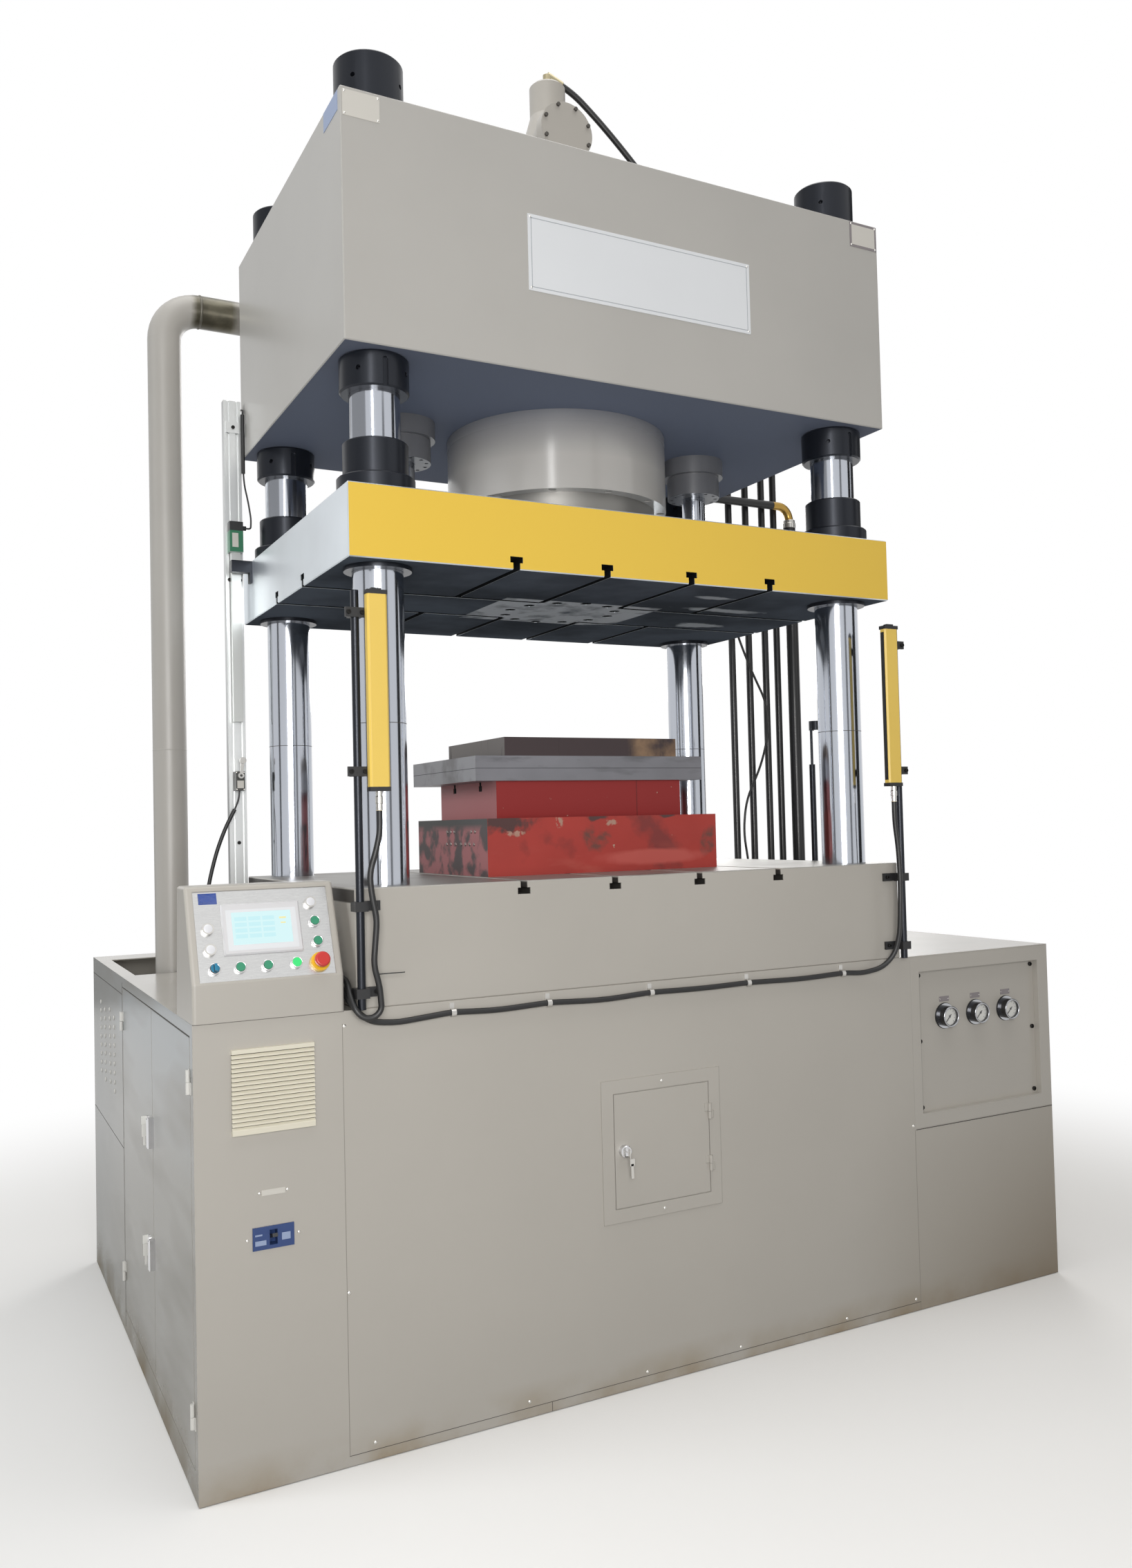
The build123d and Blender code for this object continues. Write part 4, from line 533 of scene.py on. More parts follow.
# Breaker: blue moulded block through the panel, with a black toggle and pale fields beside it, held by
# two rivets. A bare riveted plate sits above it.
breaker_blue = finish("breaker_blue", (42, 66, 118), 0.35, drift=0.03)
dress(breaker_blue, "breaker")
black_plastic = finish("black_plastic", (24, 24, 26), 0.45, drift=0.03)
dress(black_plastic, "breaker_toggle", "pole_clamps")
rivet_spots = [(-1.181 + side * 0.066, front_y, 0.627) for side in (-1, 1)]
rivet_spots += [(-1.179 + side * 0.036, front_y, 0.740) for side in (-1, 1)]
screws("breaker_rivets", 0.0042, 0.0024, rivet_spots, (0, -1, 0))
plate_pale = finish("plate_pale", (206, 203, 196), 0.32, 0.2, drift=0.02)
breaker_plate = [((-1.209, front_y - 0.0008, 0.733), (-1.149, front_y, 0.747))]
trim("breaker_plate", breaker_plate, plate_pale, "stainless")
breaker_marks = [
    ((-1.228, -0.6036, 0.610), (-1.200, -0.6029, 0.622)),
    ((-1.228, -0.6036, 0.634), (-1.210, -0.6029, 0.638)),
    ((-1.160, -0.6036, 0.616), (-1.138, -0.6029, 0.634)),
]
mark_pale = finish("mark_pale", (150, 165, 196), 0.4)
trim("breaker_marks", breaker_marks, mark_pale, "blue_plastic")

# Access door: a painted steel plate, hinged in a frame that is screwed to the panel, with a chromed
# cam lock and its two keys.
access_face = -0.603
access_screws = [(-0.010, access_face, z) for z in (0.883, 0.505)]
screws("access_screws", 0.005, 0.003, access_screws, (0, -1, 0))
lock_profile = [
    (0.0178, 0.0), (0.0178, 0.0155), (0.0160, 0.0172), (0.0115, 0.0172), (0.0110, 0.0164), (0.0, 0.0164)
]
lock_spot = [(-0.146, access_face, 0.694)]
lathed("lock_face", lock_profile, lock_spot, (0, -1, 0), chrome, "chrome", 32, body="access_door")
key_boxes = [
    ((-0.1480, -0.630, 0.6925), (-0.1440, -0.6185, 0.6955)),
    ((-0.1475, -0.640, 0.6790), (-0.1445, -0.630, 0.7040)),
    ((-0.1430, -0.6375, 0.6200), (-0.1340, -0.6355, 0.6620)),
    ((-0.1465, -0.6375, 0.6560), (-0.1300, -0.6355, 0.6770)),
]
piece("lock_keys", *slabs(key_boxes), "access_door", bright_screw, "chrome")

# Gauges: chromed cases bolted to the recessed panel on black gaskets, with white dials, printed ticks,
# black needles and a clear glass under a rolled bezel. A small bare plate is pinned above each.
gauge_chrome = finish("gauge_chrome", (168, 169, 172), 0.1, 1.0, drift=0.02)
# Faces turned away from the front are darker: painted shade and painted reflection on the case sides and
# bezels.
layer(gauge_chrome, ("Y", -0.85, -0.45, "Normal"), (72, 72, 74), 0.2)
dress(gauge_chrome, "gauges")
gauge_black = finish("gauge_black", (18, 18, 18), 0.5)
dress(gauge_black, "gauge_needle_1", "gauge_needle_2", "gauge_needle_3")
gauge_spots = [(x, -0.601, 0.963) for x in (1.163, 1.309, 1.456)]
dial_white = finish("dial_white", (236, 236, 232), 0.5)
lathed("gauge_dials", [(0.0298, 0.0002), (0.0, 0.0003)], gauge_spots, (0, -1, 0), dial_white, "chrome", 40)
tick_count, tick_sweep = 28, 270.0
tick_angle = np.radians(225.0 - np.linspace(0.0, tick_sweep, tick_count))
tick_long = np.arange(tick_count) % 3 == 0
tick_across = np.column_stack([-np.sin(tick_angle), np.zeros(tick_count), np.cos(tick_angle)])
tick_across *= np.where(tick_long, 0.0006, 0.0003)[:, None]
tick_along = np.column_stack([np.cos(tick_angle), np.zeros(tick_count), np.sin(tick_angle)])
tick_inner = np.where(tick_long, 0.0215, 0.0243)[:, None] * tick_along
tick_outer = 0.0275 * tick_along
tick_corners = (
    tick_inner - tick_across, tick_outer - tick_across, tick_outer + tick_across, tick_inner + tick_across
)
tick_lift = np.array([0.0, -0.0006, 0.0])
tick_points = np.array(gauge_spots)[:, None, None] + tick_lift + np.stack(tick_corners, axis=1)
tick_faces = np.arange(len(gauge_spots) * tick_count * 4).reshape(-1, 4)
piece("gauge_ticks", tick_points.reshape(-1, 3), tick_faces, "frame", gauge_black, "chrome")
bezel_angle = np.linspace(0.0, math.pi, 9)
bezel_profile = np.column_stack([0.0325 + 0.0035 * np.cos(bezel_angle), 0.009 + 0.0032 * np.sin(bezel_angle)])
lathed("gauge_bezels", bezel_profile, gauge_spots, (0, -1, 0), gauge_chrome, "chrome", 48, True)
panel_face = -0.578
gasket_spots = [(x, panel_face, z) for x, _, z in gauge_spots]
gasket_profile = [(0.0447, 0.0), (0.0447, 0.0022), (0.0436, 0.0028), (0.0424, 0.0028)]
lathed("gauge_gaskets", gasket_profile, gasket_spots, (0, -1, 0), gauge_black, "chrome", 48)
glass, glass_tree, _ = new_look("gauge_glass")
glass_clear = shader_node(glass_tree, "BsdfTransparent").outputs[0]
glass_shine = shader_node(glass_tree, "BsdfGlossy", (), [("Roughness", 0.03)]).outputs[0]
glass_mix = shader_node(glass_tree, "MixShader", [(1, glass_clear), (2, glass_shine)], [("Fac", 0.08)])
glass_tree.links.new(glass_mix.outputs[0], glass_tree.nodes["Material Output"].inputs["Surface"])
lathed("gauge_glasses", [(0.0298, 0.0086), (0.0, 0.0088)], gauge_spots, (0, -1, 0), glass, "chrome", 40)
plate_face, plate_half = -0.579, 0.0225
plate_boxes = [
    ((x - plate_half, plate_face, 1.012), (x + plate_half, panel_face, 1.030)) for x, _, _ in gauge_spots
]
plate_grey = finish("plate_grey", (134, 128, 130), 0.4, 0.3, drift=0.03)
trim("gauge_plates", plate_boxes, plate_grey, "stainless")
plate_pins = [(x + side * 0.019, plate_face, 1.021) for x, _, _ in gauge_spots for side in (-1, 1)]
screws("gauge_plate_pins", 0.0017, 0.0010, plate_pins, (0, -1, 0), 12)
dark_screw = finish("dark_screw", (30, 29, 28), 0.4, 0.7)
panel_screws = [(x, panel_face, z) for x in (1.046, 1.585) for z in (0.662, 0.886, 1.110)]
panel_profile = [
    (0.0075, 0.0), (0.0075, 0.005), (0.0066, 0.0058), (0.0036, 0.0058), (0.0034, 0.003), (0.0, 0.003)
]
lathed("gauge_panel_screws", panel_profile, panel_screws, (0, -1, 0), dark_screw, "black_metal")

# Console: a folded painted box with a brushed steel face screwed on. It carries a lit touch screen,
# white lamps, green buttons in chromed collars, a selector and a red stop button on a yellow base.
stainless = finish("stainless", (196, 194, 190), 0.3, 0.9, drift=0.03)
face_look = finish("brushed_face", (194, 194, 194), 0.28, 1.0)
brushed = (40.0, 0.3, 0.7, (1.0, 30.0, 30.0))
layer(face_look, brushed, (212, 212, 211), 0.24)
dress(face_look, "console_face")
dress(stainless, "panel_fittings", "cable_clips", "limit_lever")
screen_frame = finish("screen_frame", (214, 214, 217), 0.3, edge=0.0008)
dress(screen_frame, "touch_panel")
face_origin = np.array([-1.180, -0.606, 1.278])
face_run, face_rise = 0.094, 0.242
face_up = np.array([0.0, face_run, face_rise]) / math.hypot(face_run, face_rise)
face_out = np.array([0.0, -face_rise, face_run]) / math.hypot(face_run, face_rise)


def on_face(u, v, w):
    """Points on the tilted face: u to the right, v up the slope and w outwards, in metres, added up."""
    across = np.multiply.outer(u, (1.0, 0.0, 0.0))
    return face_origin + across + np.multiply.outer(v, face_up) + np.multiply.outer(w, face_out)


def face_sheets(rectangles):
    """Flat rectangles on the tilted face, each with its own height, as points and faces."""
    u0, u1, v0, v1, w = np.asarray(rectangles, float).T
    u, v = np.stack([u0, u1, u1, u0], axis=-1), np.stack([v0, v0, v1, v1], axis=-1)
    points = on_face(u, v, w[:, None]).reshape(-1, 3)
    return points, np.arange(len(points)).reshape(-1, 4)


def screen_sheets(name, rectangles, material):
    """One piece of flat rectangles on the face, such as the parts of the screen."""
    piece(name, *face_sheets(rectangles), "frame", material, "black_plastic")


def glow(name, colour, strength):
    """A lit surface: emission of a colour over a dark base."""
    values = [("Base Color", (0.02, 0.02, 0.02, 1.0)), ("Roughness", 0.25)]
    values += [("Emission Color", srgb(*colour)), ("Emission Strength", strength)]
    return new_look(name, values)[0]


screen_u, screen_v, screen_w = -0.00665, 0.1394, 0.0052
screen_half_u, screen_half_v = 0.077, 0.0435
screen_bezel = finish("screen_bezel", (226, 229, 233), 0.16)
bezel_u, bezel_down, bezel_up = 0.091, 0.058, 0.051
bezel_area = (
    screen_u - bezel_u, screen_u + bezel_u, screen_v - bezel_down, screen_v + bezel_up, screen_w - 0.00005
)
screen_sheets("screen_bezel", [bezel_area], screen_bezel)
screen_sides = (screen_u - screen_half_u, screen_u + screen_half_u)
screen_ends = (screen_v - screen_half_v, screen_v + screen_half_v)
screen_lit = glow("screen_lit", (214, 246, 248), 0.95)
screen_sheets("screen_glow", [(*screen_sides, *screen_ends, screen_w)], screen_lit)
cell_w = screen_w + 0.0001
cell_starts = [
    (screen_u - 0.070 + u * 0.036, screen_v + 0.020 - v * 0.0155) for v in range(4) for u in range(3)
]
cell_areas = [(u, u + 0.031, v, v + 0.0105, cell_w) for u, v in cell_starts]
screen_sheets("screen_cells", cell_areas, glow("screen_cells_lit", (200, 241, 246), 0.95))
key_areas = [
    (screen_u + 0.046, screen_u + 0.064, screen_v + 0.021, screen_v + 0.026, cell_w),
    (screen_u + 0.049, screen_u + 0.062, screen_v + 0.008, screen_v + 0.012, cell_w),
]
screen_sheets("screen_keys", key_areas, glow("screen_keys_lit", (244, 238, 176), 0.95))


def face_spot(share_u, share_v, w):
    """A place on the face plate from shares of its width and height."""
    face_width, face_height, face_foot = 0.350, 0.240, 0.005
    return on_face(share_u * face_width, face_foot + share_v * face_height, w)


lamp_spots = [face_spot(u, v, 0.0085) for u, v in ((-0.414, 0.575), (-0.409, 0.346), (0.363, 0.817))]
lamp_white = finish("lamp_white", (224, 225, 230), 0.3)
lathed("lamp_lenses", dome(0.0118, 0.0018), lamp_spots, face_out, lamp_white, "stainless", 28, True)
green = finish("button_green", (54, 142, 108), 0.35)
dress(green, "push_button_1", "push_button_2", "push_button_3", "push_button_4")
lit_green = glow("button_lit", (40, 230, 120), 1.0)
dress(lit_green, "push_button_5")
button_spots = (
    (0.380, 0.60), (0.386, 0.371), (-0.206, 0.1375), (-0.006, 0.1375), (0.209, 0.146), (-0.391, 0.1375)
)
collar_spots = [face_spot(u, v, 0.0) for u, v in button_spots]
collar_profile = [(0.0150, -0.003), (0.0150, 0.0055), (0.0138, 0.0074), (0.0121, 0.0074), (0.0119, 0.0066)]
lathed("button_collars", collar_profile, collar_spots, face_out, chrome, "stainless", 32, True)
selector_look = finish("selector_black", (26, 27, 30), 0.32)
layer(selector_look, ("Y", -0.85, -0.92, "Normal"), (38, 124, 160), 0.3)
dress(selector_look, "selector_knob")
blue_plate = finish("blue_plate", (36, 92, 205), 0.3, drift=0.02)
plate_area = [(-0.1615, -0.1145, 0.2105, 0.2405, -0.0030)]
piece("console_plate", *face_sheets(plate_area), "frame", blue_plate, "blue_plastic")
stop_yellow = finish("stop_yellow", (236, 190, 40), 0.4)
stop_spot = [face_spot(0.386, 0.135, 0.0)]
stop_profile = [(0.0254, -0.003), (0.0254, 0.0072), (0.0244, 0.0084), (0.0130, 0.0084)]
lathed("stop_base", stop_profile, stop_spot, face_out, stop_yellow, "yellow_paint", 40)
stop_red = finish("stop_red", (198, 52, 48), 0.32)
dress(stop_red, "estop_button")

# Switchgear and pump: bought units in grey enamel, bolted inside the base behind the panels, where
# only open doors show them.
device_grey = finish("device_grey", (120, 122, 124), 0.5, drift=0.04)
dress(device_grey, "switchgear", "pump_unit")

# Columns: hard-chromed steel bars through bed, slide and crown, held by black oxide round nuts with
# tommy holes. The slide's guide bushes, its magnet bracket and the side poles have the same black.
column_chrome = finish("column_chrome", (182, 186, 194), 0.12, 1.0, drift=0.04, drift_scale=1.2)
dress(column_chrome, "columns", "main_ram", "return_rods")
black_oxide = finish("black_oxide", (32, 35, 42), 0.28, 0.55, drift=0.06, edge=0.0015)
dress(black_oxide, "column_nuts", "guide_bushes", "magnet_bracket", "side_poles")

joint_spots = [(x, y, 1.949) for x in (-0.825, 0.825) for y in (-0.475, 0.475)]
joint_profile = [(0.07262, 0.0), (0.07268, 0.0005), (0.07268, 0.0013), (0.07262, 0.0018)]
lathed("column_joints", joint_profile, joint_spots, (0, 0, 1), seam_dark, "chrome", 48, True)

# Crown: a heavy steel block in the grey paint, with painted shade on its underside. A blank pale name plate
# and small bare plates are riveted to its front and side.
crown_look = finish(
    "crown_paint", (182, 180, 176), 0.3, drift=0.03, grain=0.05, grain_scale=180.0, edge=0.003
)
# The underside is a darker bluish grey with little shine: painted shade.
layer(crown_look, ("Z", -0.8, -0.95, "Normal"), (116, 123, 140), 0.6, None, 0.04)
dress(crown_look, "crown")
plate_white = finish("plate_white", (226, 229, 233), 0.28, 0.1, drift=0.015)
plate_border = finish("plate_border", (168, 172, 178), 0.35, 0.4)
plate_x0, plate_x1, plate_z0, plate_z1 = -0.390, 0.403, 3.216, 3.443
name_plate = [((plate_x0, front_y - 0.0016, plate_z0), (plate_x1, front_y, plate_z1))]
trim("name_plate", name_plate, plate_white, "stainless")
border_wide, border_inset = 0.0022, 0.010
border_x0, border_x1 = plate_x0 + border_inset, plate_x1 - border_inset
border_z0, border_z1 = plate_z0 + border_inset, plate_z1 - border_inset
border_lines = (
    (border_x0, border_x1, border_z0, border_z0 + border_wide),
    (border_x0, border_x1, border_z1 - border_wide, border_z1),
    (border_x0, border_x0 + border_wide, border_z0, border_z1),
    (border_x1 - border_wide, border_x1, border_z0, border_z1),
)
border_boxes = [((x0, front_y - 0.0019, z0), (x1, front_y - 0.0015, z1)) for x0, x1, z0, z1 in border_lines]
trim("name_plate_border", border_boxes, plate_border, "stainless")
small_plates = [
    ((-0.944, front_y - 0.0012, 3.598), (-0.838, front_y, 3.670)),
    ((0.838, front_y - 0.0014, 3.600), (0.938, front_y, 3.668)),
]
trim("crown_small_plates", small_plates, plate_pale, "stainless")
right_plate = [((0.830, front_y - 0.0012, 3.592), (0.946, front_y, 3.676))]
trim("crown_right_plate", right_plate, plate_grey, "stainless")
trim("crown_side_plate", [((-0.9512, -0.577, 3.621), (-0.950, -0.450, 3.676))], mark_pale, "stainless")
plate_rivets = [(x, front_y - 0.0012, z) for x in (-0.382, 0.395) for z in (3.224, 3.435)]
plate_rivets += [(x, front_y - 0.001, z) for x in (-0.939, -0.843) for z in (3.603, 3.665)]
plate_rivets += [(x, front_y - 0.001, z) for x in (0.836, 0.940) for z in (3.598, 3.670)]
screws("plate_rivets", 0.0036, 0.0022, plate_rivets, (0, -1, 0), 14)

# Cylinders: painted steel bodies set into the crown, the main one with the crown's shadow painted dark
# round its top where it leaves the crown, with a bare steel gland held in its mouth.
cylinder_look = finish("cylinder_paint", (184, 181, 177), 0.17, drift=0.03)
# Darker towards the top where the cylinder enters the crown: painted shadow of the crown.
layer(cylinder_look, ("Z", 2.835, 2.975), (120, 121, 126), 0.3)
dress(cylinder_look, "main_cylinder")
# The return cylinders are a darker grey than the main one.
return_look = finish("return_dark_grey", (100, 101, 105), 0.3, drift=0.05)
dress(return_look, "return_cylinders")
dark_steel = finish("dark_steel", (132, 130, 126), 0.35, 0.6, drift=0.08)
dress(dark_steel, "cylinder_gland")

# Slide: a machined steel plate with T-slots from all sides and an oiled underside, ground bare round
# its bolt circle. Only its front is painted yellow.
slide_look = finish("slide_steel", (220, 227, 233), 0.3, 0.9, drift=0.06, drift_scale=3.0)
under = ("Z", -0.8, -0.95, "Normal")
# The underside is a darker bluish grey without shine: painted shade and painted sheen.
layer(slide_look, under, (100, 109, 121), 0.5, 0.0, 0.0)
oil = [under, (2.4, 0.42, 0.66)]
layer(slide_look, oil, (74, 80, 88), 0.4)
ground_box = (("X", -0.297, -0.293), ("X", 0.297, 0.293), ("Y", -0.202, -0.198), ("Y", 0.202, 0.198))
layer(slide_look, [under, *ground_box, (9.0, 0.36, 0.56)], (206, 213, 221), 0.4)


def patch(material, centre, reach, ragged=0.6, scale=14.0):
    """A soft ellipsoid round a centre: one inside, zero past its reach, its edge made ragged by noise."""
    tree = material.node_tree
    place = shader_node(tree, "TexCoord").outputs["Object"]
    offset = shader_node(tree, "VectorMath", [(0, place)], [(1, centre)], "SUBTRACT").outputs[0]
    scaled = shader_node(tree, "VectorMath", [(0, offset)], [(1, reach)], "DIVIDE").outputs[0]
    distance = shader_node(tree, "VectorMath", [(0, scaled)], (), "LENGTH").outputs["Value"]
    spread = [(0, noise(material, scale, 0.3, 0.7)), (2, distance)]
    uneven = shader_node(tree, "Math", spread, [(1, ragged)], "MULTIPLY_ADD").outputs[0]
    return ramp(tree, uneven, 1.0 + ragged / 2.0, 0.6 + ragged / 2.0)


# Pale patches on the underside: painted reflections.
for glint_centre, glint_reach in (
    ((0.52, -0.24, 2.39), (0.20, 0.035, 0.05)),
    ((0.62, 0.06, 2.39), (0.12, 0.05, 0.05)),
    ((0.36, -0.43, 2.39), (0.10, 0.03, 0.05)),
):
    glint_patch = [under, patch(slide_look, glint_centre, glint_reach)]
    layer(slide_look, glint_patch, (186, 194, 202), 0.42)
# The insides of the T-slots are near black: painted shade.
inside = [("X", -0.9485, -0.947), ("X", 0.9485, 0.947), ("Y", -0.5985, -0.597), ("Y", 0.5985, 0.597)]
inside += [("Z", 2.3905, 2.3915), ("Z", 2.470, 2.460)]
layer(slide_look, inside, (24, 26, 28), 0.6, 0.0, 0.05)
front_facing = ("Y", -0.9, -0.97, "Normal")
painted = [front_facing, ("Y", -0.598, -0.599)]
layer(slide_look, painted, (236, 198, 76), 0.34, 0.0)
dress(slide_look, "slide")

# Light curtain: yellow painted bars with black end caps, a dark lens on the inner side and bright plugs,
# clamped to black poles. Black rubber cables run down them, tied in place.
curtain_yellow = finish("curtain_yellow", (238, 204, 100), 0.38, drift=0.02, edge=0.0025)
dress(curtain_yellow, "light_bars")
cap_y, bar_y = (-0.6684, -0.6396), (-0.662, -0.646)
cap_boxes = []
lens_boxes = []
plug_spots = []
for side in (-1, 1):
    bar_x = 0.895 * side
    for z0, z1 in ((1.7566, 1.768), (2.280, 2.2914)):
        cap_boxes.append(((bar_x - 0.0284, cap_y[0], z0), (bar_x + 0.0284, cap_y[1], z1)))
    cap_boxes.append(((bar_x - 0.014, bar_y[0], 2.2914), (bar_x + 0.014, bar_y[1], 2.297)))
    inner = sorted((0.8668 * side, 0.8674 * side))
    lens_boxes.append(((inner[0] - 0.0003, bar_y[0], 1.778), (inner[1] + 0.0003, bar_y[1], 2.270)))
    plug_spots.append((bar_x, -0.654, 1.7055))
trim("bar_caps", cap_boxes, black_plastic, "black_plastic")
trim("bar_lenses", lens_boxes, gauge_black, "black_plastic")
plug_profile = [(0.0088, 0.0), (0.0092, 0.002), (0.0092, 0.018), (0.0108, 0.020), (0.0108, 0.036)]
plug_profile += [(0.0094, 0.038), (0.0094, 0.051)]
lathed("bar_plugs", plug_profile, plug_spots, (0, 0, 1), bright_screw, "stainless", 24)
socket_profile = [
    (0.0062, 0.0), (0.0062, 0.005), (0.0056, 0.0056), (0.003, 0.0056), (0.0028, 0.003), (0.0, 0.003)
]
clamp_screws = []
for side in (-1, 1):
    clamp_screws += [(side * 0.897, -0.608, z) for z in (1.2248, 1.453)]
    clamp_screws += [(side * x, -0.640, z) for x in (0.9655, 0.9285) for z in (1.8099, 2.2328)]
lathed("clamp_screws", socket_profile, clamp_screws, (0, -1, 0), dark_screw, "black_metal")
trim("tie_tail", [((-0.908, -0.6405, 1.2722), (-0.828, -0.6393, 1.2750))], black_plastic, "black_plastic")
rubber = finish("rubber", (20, 20, 21), 0.42, drift=0.05)
dress(rubber, "sensor_cables")

# Measuring rail: a bright aluminium profile on screwed brackets beside the frame, with the position
# transducer, its green head, and the limit switch in dark painted metal.
aluminium = finish("aluminium", (206, 208, 208), 0.36, 0.85, drift=0.02)
dress(aluminium, "scale_rail")
transducer_look = finish("transducer", (190, 192, 190), 0.35, 0.7, drift=0.02)
layer(transducer_look, ("Z", 2.628, 2.630), (40, 112, 80), 0.4, 0.0)
layer(transducer_look, ("Z", 2.702, 2.704), (26, 26, 28), 0.4, 0.0)
dress(transducer_look, "position_transducer")
switch_look = finish("switch_body", (70, 70, 68), 0.45, 0.3, drift=0.04)
dress(switch_look, "limit_switch")
label_boxes = [
    ((-1.009, 0.5042, 2.645), (-0.988, 0.505, 2.694)), ((-1.005, 0.5022, 1.808), (-0.983, 0.503, 1.834))
]
trim("sensor_labels", label_boxes, plate_pale, "stainless")
switch_screws = [(x, 0.503, z) for x in (-1.006, -0.982) for z in (1.804, 1.862)]
screws("switch_screws", 0.0028, 0.0016, switch_screws, (0, -1, 0), 14)
trim("rail_plate", [((-1.018, 0.541, 3.056), (-0.968, 0.545, 3.094))], aluminium, "aluminium")
rail_screws = [(-0.993, 0.541, 3.075), (-1.012, 0.545, 2.537), (-0.975, 0.545, 2.537), (-0.993, 0.545, 1.62)]
lathed("rail_screws", socket_profile, rail_screws, (0, -1, 0), dark_screw, "black_metal")

# Suction pipe: a painted steel tube from the tank up to the valve, welded from lengths. It is bare and
# dark round the weld where it comes to the crown.
suction_look = finish("suction_paint", (172, 169, 164), 0.36, drift=0.04)
bare = [("X", -1.110, -1.085), ("X", -0.930, -0.965), ("Z", 3.40, 3.44)]
layer(suction_look, bare, (104, 100, 84), 0.3, 0.5)
layer(suction_look, [*bare, (9.0, 0.42, 0.62)], (70, 66, 54), 0.3, 0.5)
dress(suction_look, "suction_pipe")
weld_profile = [(0.0568, -0.0045), (0.0584, -0.0028), (0.0591, 0.0), (0.0584, 0.0028), (0.0568, 0.0045)]
weld_grey = finish("weld_grey", (96, 93, 84), 0.4, 0.5, drift=0.1, drift_scale=40.0)
lathed("suction_weld", weld_profile, [(-1.072, 0.700, 3.531)], (1, 0, 0), weld_grey, "grey_paint", 48, True)
seam_profile = [(0.0568, -0.003), (0.0576, -0.001), (0.0576, 0.001), (0.0568, 0.003)]
lathed(
    "suction_seam", seam_profile, [(-1.194, 0.700, 1.950)], (0, 0, 1), suction_look, "grey_paint", 48, True
)

# Prefill valve: a painted casting on the crown with a bolted cover. Its bolt heads are bare steel, and
# the fitting screwed into its top is bare metal.
valve_look = finish("valve_paint", grey, 0.34, drift=0.03, grain=0.05, grain_scale=260.0, edge=0.003)
layer(valve_look, ("Z", 4.248, 4.251), (178, 168, 138), 0.3, 0.9)
layer(valve_look, ("Y", -0.1402, -0.1408), (84, 81, 77), 0.35, 0.8)
dress(valve_look, "prefill_valve", "prefill_cover")

# Pressure pipes: bent steel tubes in black paint that run up behind the frame, with brass unions and
# a bright crimped collar.
pipe_black = finish("pipe_black", (20, 20, 22), 0.28, drift=0.04)
brass = [("X", 1.425, 1.430), ("Y", 0.668, 0.664), ("Z", 2.983, 2.985)]
layer(pipe_black, brass, (176, 142, 74), 0.28, 0.9)
dress(pipe_black, "pressure_pipes")
collar_shape = [(0.0276, 0.0), (0.0284, 0.001), (0.0284, 0.020), (0.0262, 0.022), (0.0262, 0.034)]
collar_shape += [(0.0240, 0.036), (0.0185, 0.036)]
lathed("hose_collar", collar_shape, [(1.520, 0.640, 2.970)], (0, 0, 1), bright_screw, "stainless", 32)

# Hose: stiff black rubber from the valve's top fitting down to its socket on the deck, held by a
# fitting at each end. It follows one smooth line through the points of its route.
hose_points = (
    (0.05826, 0.0, 4.27279),
    (0.10525, 0.0, 4.25569),
    (0.168, 0.0, 4.211),
    (0.231, 0.0, 4.162),
    (0.300, 0.0, 4.103),
    (0.371, 0.0, 4.038),
    (0.466, 0.0, 3.949),
    (0.529, 0.0, 3.872),
    (0.558, 0.0, 3.800),
    (0.558, 0.0, 3.745),
)
hose_curve = bpy.data.curves.new("prefill_hose_line", "CURVE")
hose_curve.dimensions = "3D"
hose_curve.bevel_depth = 0.011
hose_curve.bevel_resolution = 8
hose_curve.resolution_u = 24
hose_curve.use_fill_caps = True
hose_spline = hose_curve.splines.new("NURBS")
hose_spline.points.add(len(hose_points) - 1)
for control, place in zip(hose_spline.points, hose_points):
    control.co = (*place, 1.0)
hose_spline.order_u = 3
hose_spline.use_endpoint_u = True
hose_curve.materials.append(rubber)
hose = bpy.data.objects.new("prefill_hose_line", hose_curve)
scene.collection.objects.link(hose)
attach(hose, "frame")
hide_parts("prefill_hose")

# Press tool: two worn red painted steel blocks, ground steel plates and a dark oiled top plate, stacked
# on the bed. Grease, stains and chips mark the paint, and weld beads stand on the lower block's side.
tool_red = finish("tool_red", (166, 55, 47), 0.45, drift=0.1, drift_scale=4.0)
layer(tool_red, (4.5, 0.58, 0.66), (124, 42, 38), 0.4)
low_smear = [("Z", 1.60, 1.50), (5.0, 0.54, 0.70, (1.0, 1.0, 3.0))]
layer(tool_red, low_smear, (178, 84, 72), 0.5)
layer(tool_red, ("Z", 1.6795, 1.6805), (142, 28, 26), 0.45)
layer(tool_red, (30.0, 0.705, 0.725), (176, 150, 134), 0.4)
for grease_centre, grease_reach in (
    ((-0.36, -0.295, 1.668), (0.10, 0.05, 0.040)),
    ((-0.03, -0.295, 1.678), (0.055, 0.05, 0.014)),
    ((0.24, -0.295, 1.680), (0.050, 0.05, 0.012)),
):
    grease = patch(tool_red, grease_centre, grease_reach, 0.8, 26.0)
    layer(tool_red, grease, (74, 44, 42), 0.38)
for stain_centre, stain_reach in (
    ((-0.04, -0.295, 1.605), (0.055, 0.05, 0.045)),
    ((0.39, -0.295, 1.585), (0.035, 0.05, 0.055)),
):
    stain = patch(tool_red, stain_centre, stain_reach, 0.8, 20.0)
    layer(tool_red, [stain, (34.0, 0.34, 0.62)], (104, 58, 50), 0.42)
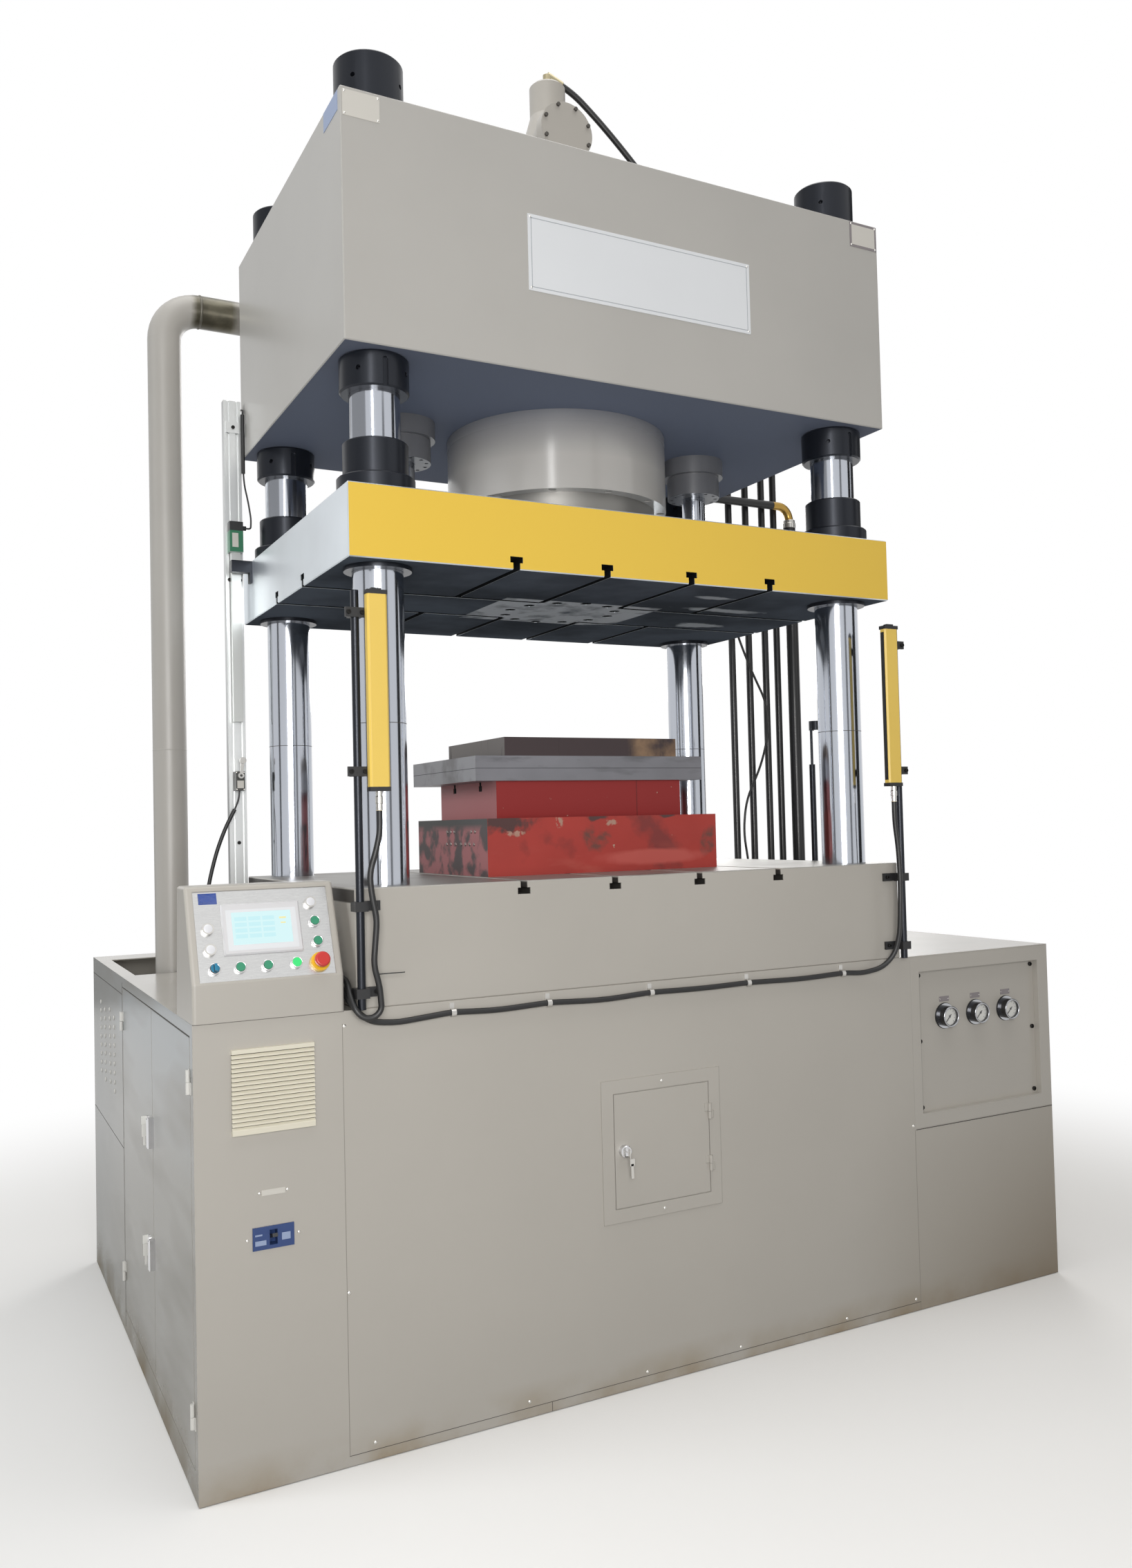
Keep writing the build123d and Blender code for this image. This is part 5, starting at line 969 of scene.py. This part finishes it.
for chip_centre, chip_reach in (
    ((-0.175, -0.295, 1.664), (0.018, 0.03, 0.018)),
    ((0.012, -0.295, 1.662), (0.030, 0.03, 0.012)),
    ((-0.335, -0.295, 1.632), (0.034, 0.03, 0.012)),
):
    chip = patch(tool_red, chip_centre, chip_reach, 0.9, 40.0)
    layer(tool_red, [chip, (70.0, 0.42, 0.5)], (176, 138, 122), 0.4)
scuff = patch(tool_red, (0.17, -0.295, 1.545), (0.20, 0.05, 0.030), 0.5, 7.0)
layer(tool_red, scuff, (184, 82, 74), 0.4)
# The left faces are paler and pinker: painted light.
tool_side = ("X", -0.9, -0.97, "Normal")
layer(tool_red, tool_side, (158, 98, 100), 0.4)
lower_side = [tool_side, ("Z", 1.6805, 1.6795)]
layer(tool_red, [*lower_side, (15.0, 0.44, 0.56)], (70, 60, 60), 0.4)
layer(tool_red, [*lower_side, ("Z", 1.640, 1.664)], (58, 58, 56), 0.36)
upper_side = [tool_side, ("Z", 1.6795, 1.6805)]
layer(tool_red, [*upper_side, (8.0, 0.56, 0.68)], (120, 64, 66), 0.4)
# The T-slot in the upper block is near black: painted shade.
tool_slot_shade = [("X", -0.3468, -0.3460), ("X", 0.345, 0.343), ("Y", -0.190, -0.188), ("Y", 0.264, 0.262)]
tool_slot_shade += [("Z", 1.720, 1.722)]
layer(tool_red, tool_slot_shade, (18, 16, 16), 0.6)
dress(tool_red, "die_blocks")
joint_dark = finish("joint_dark", (66, 20, 20), 0.7)
trim("die_joint", [((0.1728, -0.1973, 1.6805), (0.1746, -0.1970, 1.7995))], joint_dark, "red_paint")
bead_rows = (
    (1.640, (-0.20, -0.17, -0.03, 0.0, 0.03)),
    (1.600, (-0.19, -0.155, -0.12, -0.085, -0.04, 0.0, 0.035)),
)
bead_spots = [(-0.425, y, z) for z, places in bead_rows for y in places]
bead_steel = finish("bead_steel", (140, 132, 128), 0.3, 0.9)
lathed("die_weld_beads", dome(0.0062, 0.0026), bead_spots, (-1, 0, 0), bead_steel, "stainless", 12, True)
tool_steel = finish("tool_steel", (124, 124, 129), 0.42, 0.6, drift=0.1, drift_scale=5.0)
layer(tool_steel, (6.0, 0.54, 0.7, (1.0, 1.0, 5.0)), (104, 104, 108), 0.4)
# The left faces are lighter: painted light.
steel_side = ("X", -0.9, -0.97, "Normal")
layer(tool_steel, steel_side, (152, 152, 155), 0.42)
side_stain = [steel_side, (8.0, 0.5, 0.66)]
layer(tool_steel, side_stain, (122, 121, 122), 0.4)
plate_joint = [("Z", 1.8388, 1.8396), ("Z", 1.8412, 1.8404)]
layer(tool_steel, plate_joint, (48, 48, 52), 0.6, 0.2)
top_brown = ("Z", 1.8795, 1.8805)
layer(tool_steel, top_brown, (54, 41, 43), 0.6, 0.0)
# The brown plate's left face is lighter: painted light.
layer(tool_steel, [top_brown, steel_side], (112, 107, 104), 0.45, 0.4)
tan_end = [top_brown, ("X", 0.13, 0.17), (11.0, 0.34, 0.56)]
layer(tool_steel, tan_end, (138, 112, 88), 0.5, 0.2)
dark_streak = [top_brown, (26.0, 0.60, 0.68, (1.0, 1.0, 0.12))]
layer(tool_steel, dark_streak, (44, 35, 34), 0.5, 0.2)
dress(tool_steel, "die_plates")
